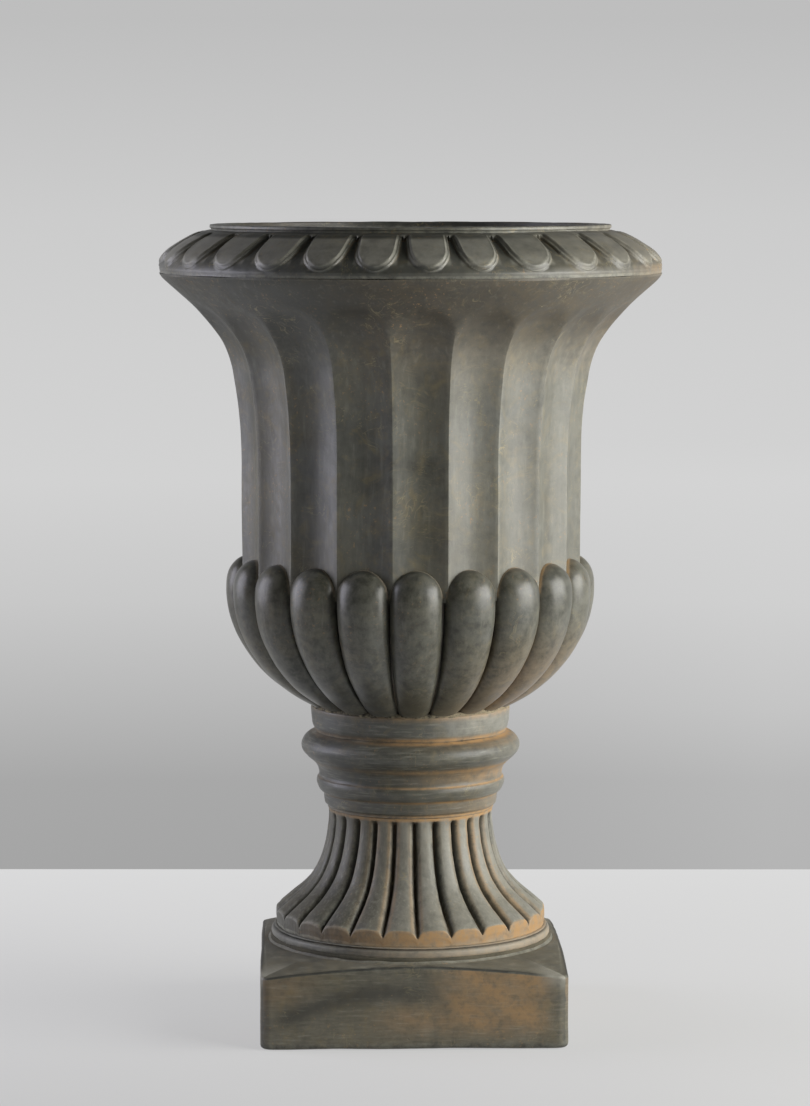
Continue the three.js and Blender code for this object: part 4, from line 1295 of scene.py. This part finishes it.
# Hexagon nut with both faces turned to a chamfer, and a countersunk bore
def nutUnit(node):
    low, high = levels(node)
    heights = np.array(fitting["rows"])
    heights = np.concatenate((heights, (high - low) - heights[::-1]))
    bore = fitting["bore"]

    def section(u):
        flat = fitting["apothem"] / math.cos(math.pi / 6 * u)
        rounded = 0.95 * fitting["apothem"] + np.minimum(heights, high - low - heights) * fitting["chamfer"]
        outer = np.column_stack((np.minimum(flat, rounded), low + heights))
        return np.vstack((outer, [(bore + 1.2, high), (bore, high - 1), (bore, low + 1), (bore + 1.2, low)]))

    return turned(6, even(13), section)


# Flat washer with rounded edges
def washerUnit(node, edge, bulge=0.0):
    low, high = levels(node)
    outer, bore = reach(node), fitting["bore"]

    def section(u):
        return [*roundedEdge(outer, low, edge, 5, up=-1)[::-1], (outer + bulge, (low + high) / 2),
                *roundedEdge(outer, high, edge, 5),
                (bore + 0.5, high), (bore, high - 0.5), (bore, low + 0.5), (bore + 0.5, low)]

    return turned(8, even(9), section)


for node in ("anchor_nut", "bowl_nut"):
    ringPiece(node + "Hex", node, steelFinish, nutUnit(node), sharp=25)
ringPiece("bowlWasher", "bowl_plate", steelFinish, washerUnit("bowl_plate", fitting["edge"]))
ringPiece("sealRing", "seal_washer", rubberFinish,
          washerUnit("seal_washer", fitting["sealEdge"], fitting["sealBulge"]))


# Anchor bar: sawn flat bar with its corners and edges ground round
def barUnit():
    low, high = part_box("anchor_bar")
    halfLong, halfWide, foot, top = high.x / mm, high.y / mm, low.z / mm, high.z / mm
    corner, edge, bore = fitting["barCorner"], fitting["barEdge"], fitting["bore"]

    # A point of the corner in the quarter that the signs give
    def cornerPoint(signX, signY, inset, degrees):
        angle = math.radians(degrees)
        return (signX * (halfLong - corner) + (corner - inset) * math.cos(angle),
                signY * (halfWide - corner) + (corner - inset) * math.sin(angle))

    def outline(inset):
        points = []
        for signX, signY, start in ((1, 1, 0), (-1, 1, 90), (-1, -1, 180), (1, -1, 270)):
            points += [cornerPoint(signX, signY, inset, angle) for angle in np.linspace(start, start + 90, 5)]
            longSide = signX == signY
            nextSigns = (-signX, signY) if longSide else (signX, -signY)
            end = cornerPoint(*nextSigns, inset, start + 90)
            points += straight([points[-1], end], 30 if longSide else 6)[1:].tolist()
        return points

    rows = [(outline(inset), z) for inset, z in (
        (edge, top), (0.3 * edge, top - 0.3 * edge), (0, top - edge), (0, foot + edge),
        (0.3 * edge, foot + 0.3 * edge), (edge, foot))]
    sections = []
    for i, (x, y) in enumerate(rows[0][0]):
        away = math.hypot(x, y)
        inner = (x / away * bore, y / away * bore)
        sections.append([(*inner, top), *[(*row[i], z) for row, z in rows], (*inner, foot)])
    return 1, sections + sections[:1]


ringPiece("anchorBar", "anchor_bar", steelFinish, barUnit(), sharp=25)

# Tie rod: rolled thread from end to end, with turned points
tieRod = {"pitch": 2.0, "depth": 1.1, "point": 2.0, "columns": 24}


def tieRodPiece():
    low, high = levels("tie_rod")
    pitch, size = tieRod["pitch"], tieRod["columns"]
    outer = reach("tie_rod") - 0.05
    core = outer - tieRod["depth"]
    count = int((high - low - 2 * tieRod["point"]) / pitch)
    first = (low + high - count * pitch) / 2
    around = np.linspace(0, math.tau, size, endpoint=False)

    # Points and faces of a skin over rings; closed gives its first ring a face as well
    def skin(rings, closed=False):
        points = [(r * math.cos(a) * mm, r * math.sin(a) * mm, z * mm) for r, z in rings for a in around]
        faces = []
        for i in range(len(rings) - 1):
            for k in range(size):
                m = (k + 1) % size
                faces.append((i * size + k, i * size + m, (i + 1) * size + m, (i + 1) * size + k))
        return points, faces + ([tuple(range(size))] if closed else [])

    points, faces = skin([(core, first), (outer - 0.1, first + 0.8), (outer - 0.1, first + 1.2),
                          (core, first + pitch)])
    thread = bpy.data.meshes.new("thread")
    thread.from_pydata(points, [], faces)
    piece, stack = standUnits("tieRodThreaded", thread, {
        "Count": count, "Rise": pitch * mm, "Finish": steelFinish})
    work = bmesh.new()
    work.from_mesh(stack)
    for rings in ([(core - 1.2, low), (core, low + 1.2), (core, first)],
                  [(core - 1.2, high), (core, high - 1.2), (core, first + count * pitch)]):
        points, faces = skin(rings, closed=True)
        placed = [work.verts.new(point) for point in points]
        for face in faces:
            work.faces.new([placed[k] for k in face])
    bmesh.ops.remove_doubles(work, verts=work.verts, dist=joined)
    bmesh.ops.recalc_face_normals(work, faces=work.faces)
    work.to_mesh(stack)
    work.free()
    stack.shade_smooth()
    stack.set_sharp_from_angle(angle=math.radians(40))
    handIn(piece, "urn", "tie_rod")
    print("tieRodThreaded made:", count, "threads")


tieRodPiece()

# Drain plug: moulded rubber with a flange, a waist and a knob to pull, and two sealing ribs on its shank
plug = {
    "shank": 8.7,
    "taper": 1.5,
    "rib": 0.25,
    "ribs": (7, 13),  # below the seat
    "upper": [  # flange, neck and knob: radius and height over the seat
        (9.1, 0), (11.6, 0), (12.6, 0.4), (13, 1.4), (12.7, 2.8), (11.4, 3.8), (9, 4), (4.9, 4.1), (3.8, 4.9),
        (3.5, 6.4), (3.9, 7.6), (4.8, 8.3), (5.9, 10), (6, 12), (5.5, 13.8), (4.2, 15.4), (2.6, 16), (0, 16)],
}


def plugSection(u):
    low = levels("drain_plug")[0]
    seat = levels("cup")[0] + cup["floor"] + 0.3
    z = np.linspace(low + 1.2, seat - 0.6, 24)
    ribs = bands(z, *[(seat - drop, 1.2, plug["rib"]) for drop in plug["ribs"]])
    shank = np.column_stack((plug["shank"] - plug["taper"] * (seat - z) / (seat - low) - 0.1 + ribs, z))
    foot = [(0, low), (plug["shank"] - plug["taper"] - 1.2, low)]
    return np.vstack((foot, shank, np.add(plug["upper"], (0, seat))))


ringPiece("drainPlugMoulded", "drain_plug", rubberFinish, turned(8, even(7), plugSection), sharp=50,
          body="plug", centre=(0, drain["back"] * mm, 0))

# The other beds stay as the frame has them, inside their joints
for node in ("socle_bed", "knop_bed", "collar_bed", "bell_bed", "rim_bed", "lip_bed"):
    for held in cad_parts[node].material_slots:
        held.material = mortarFinish
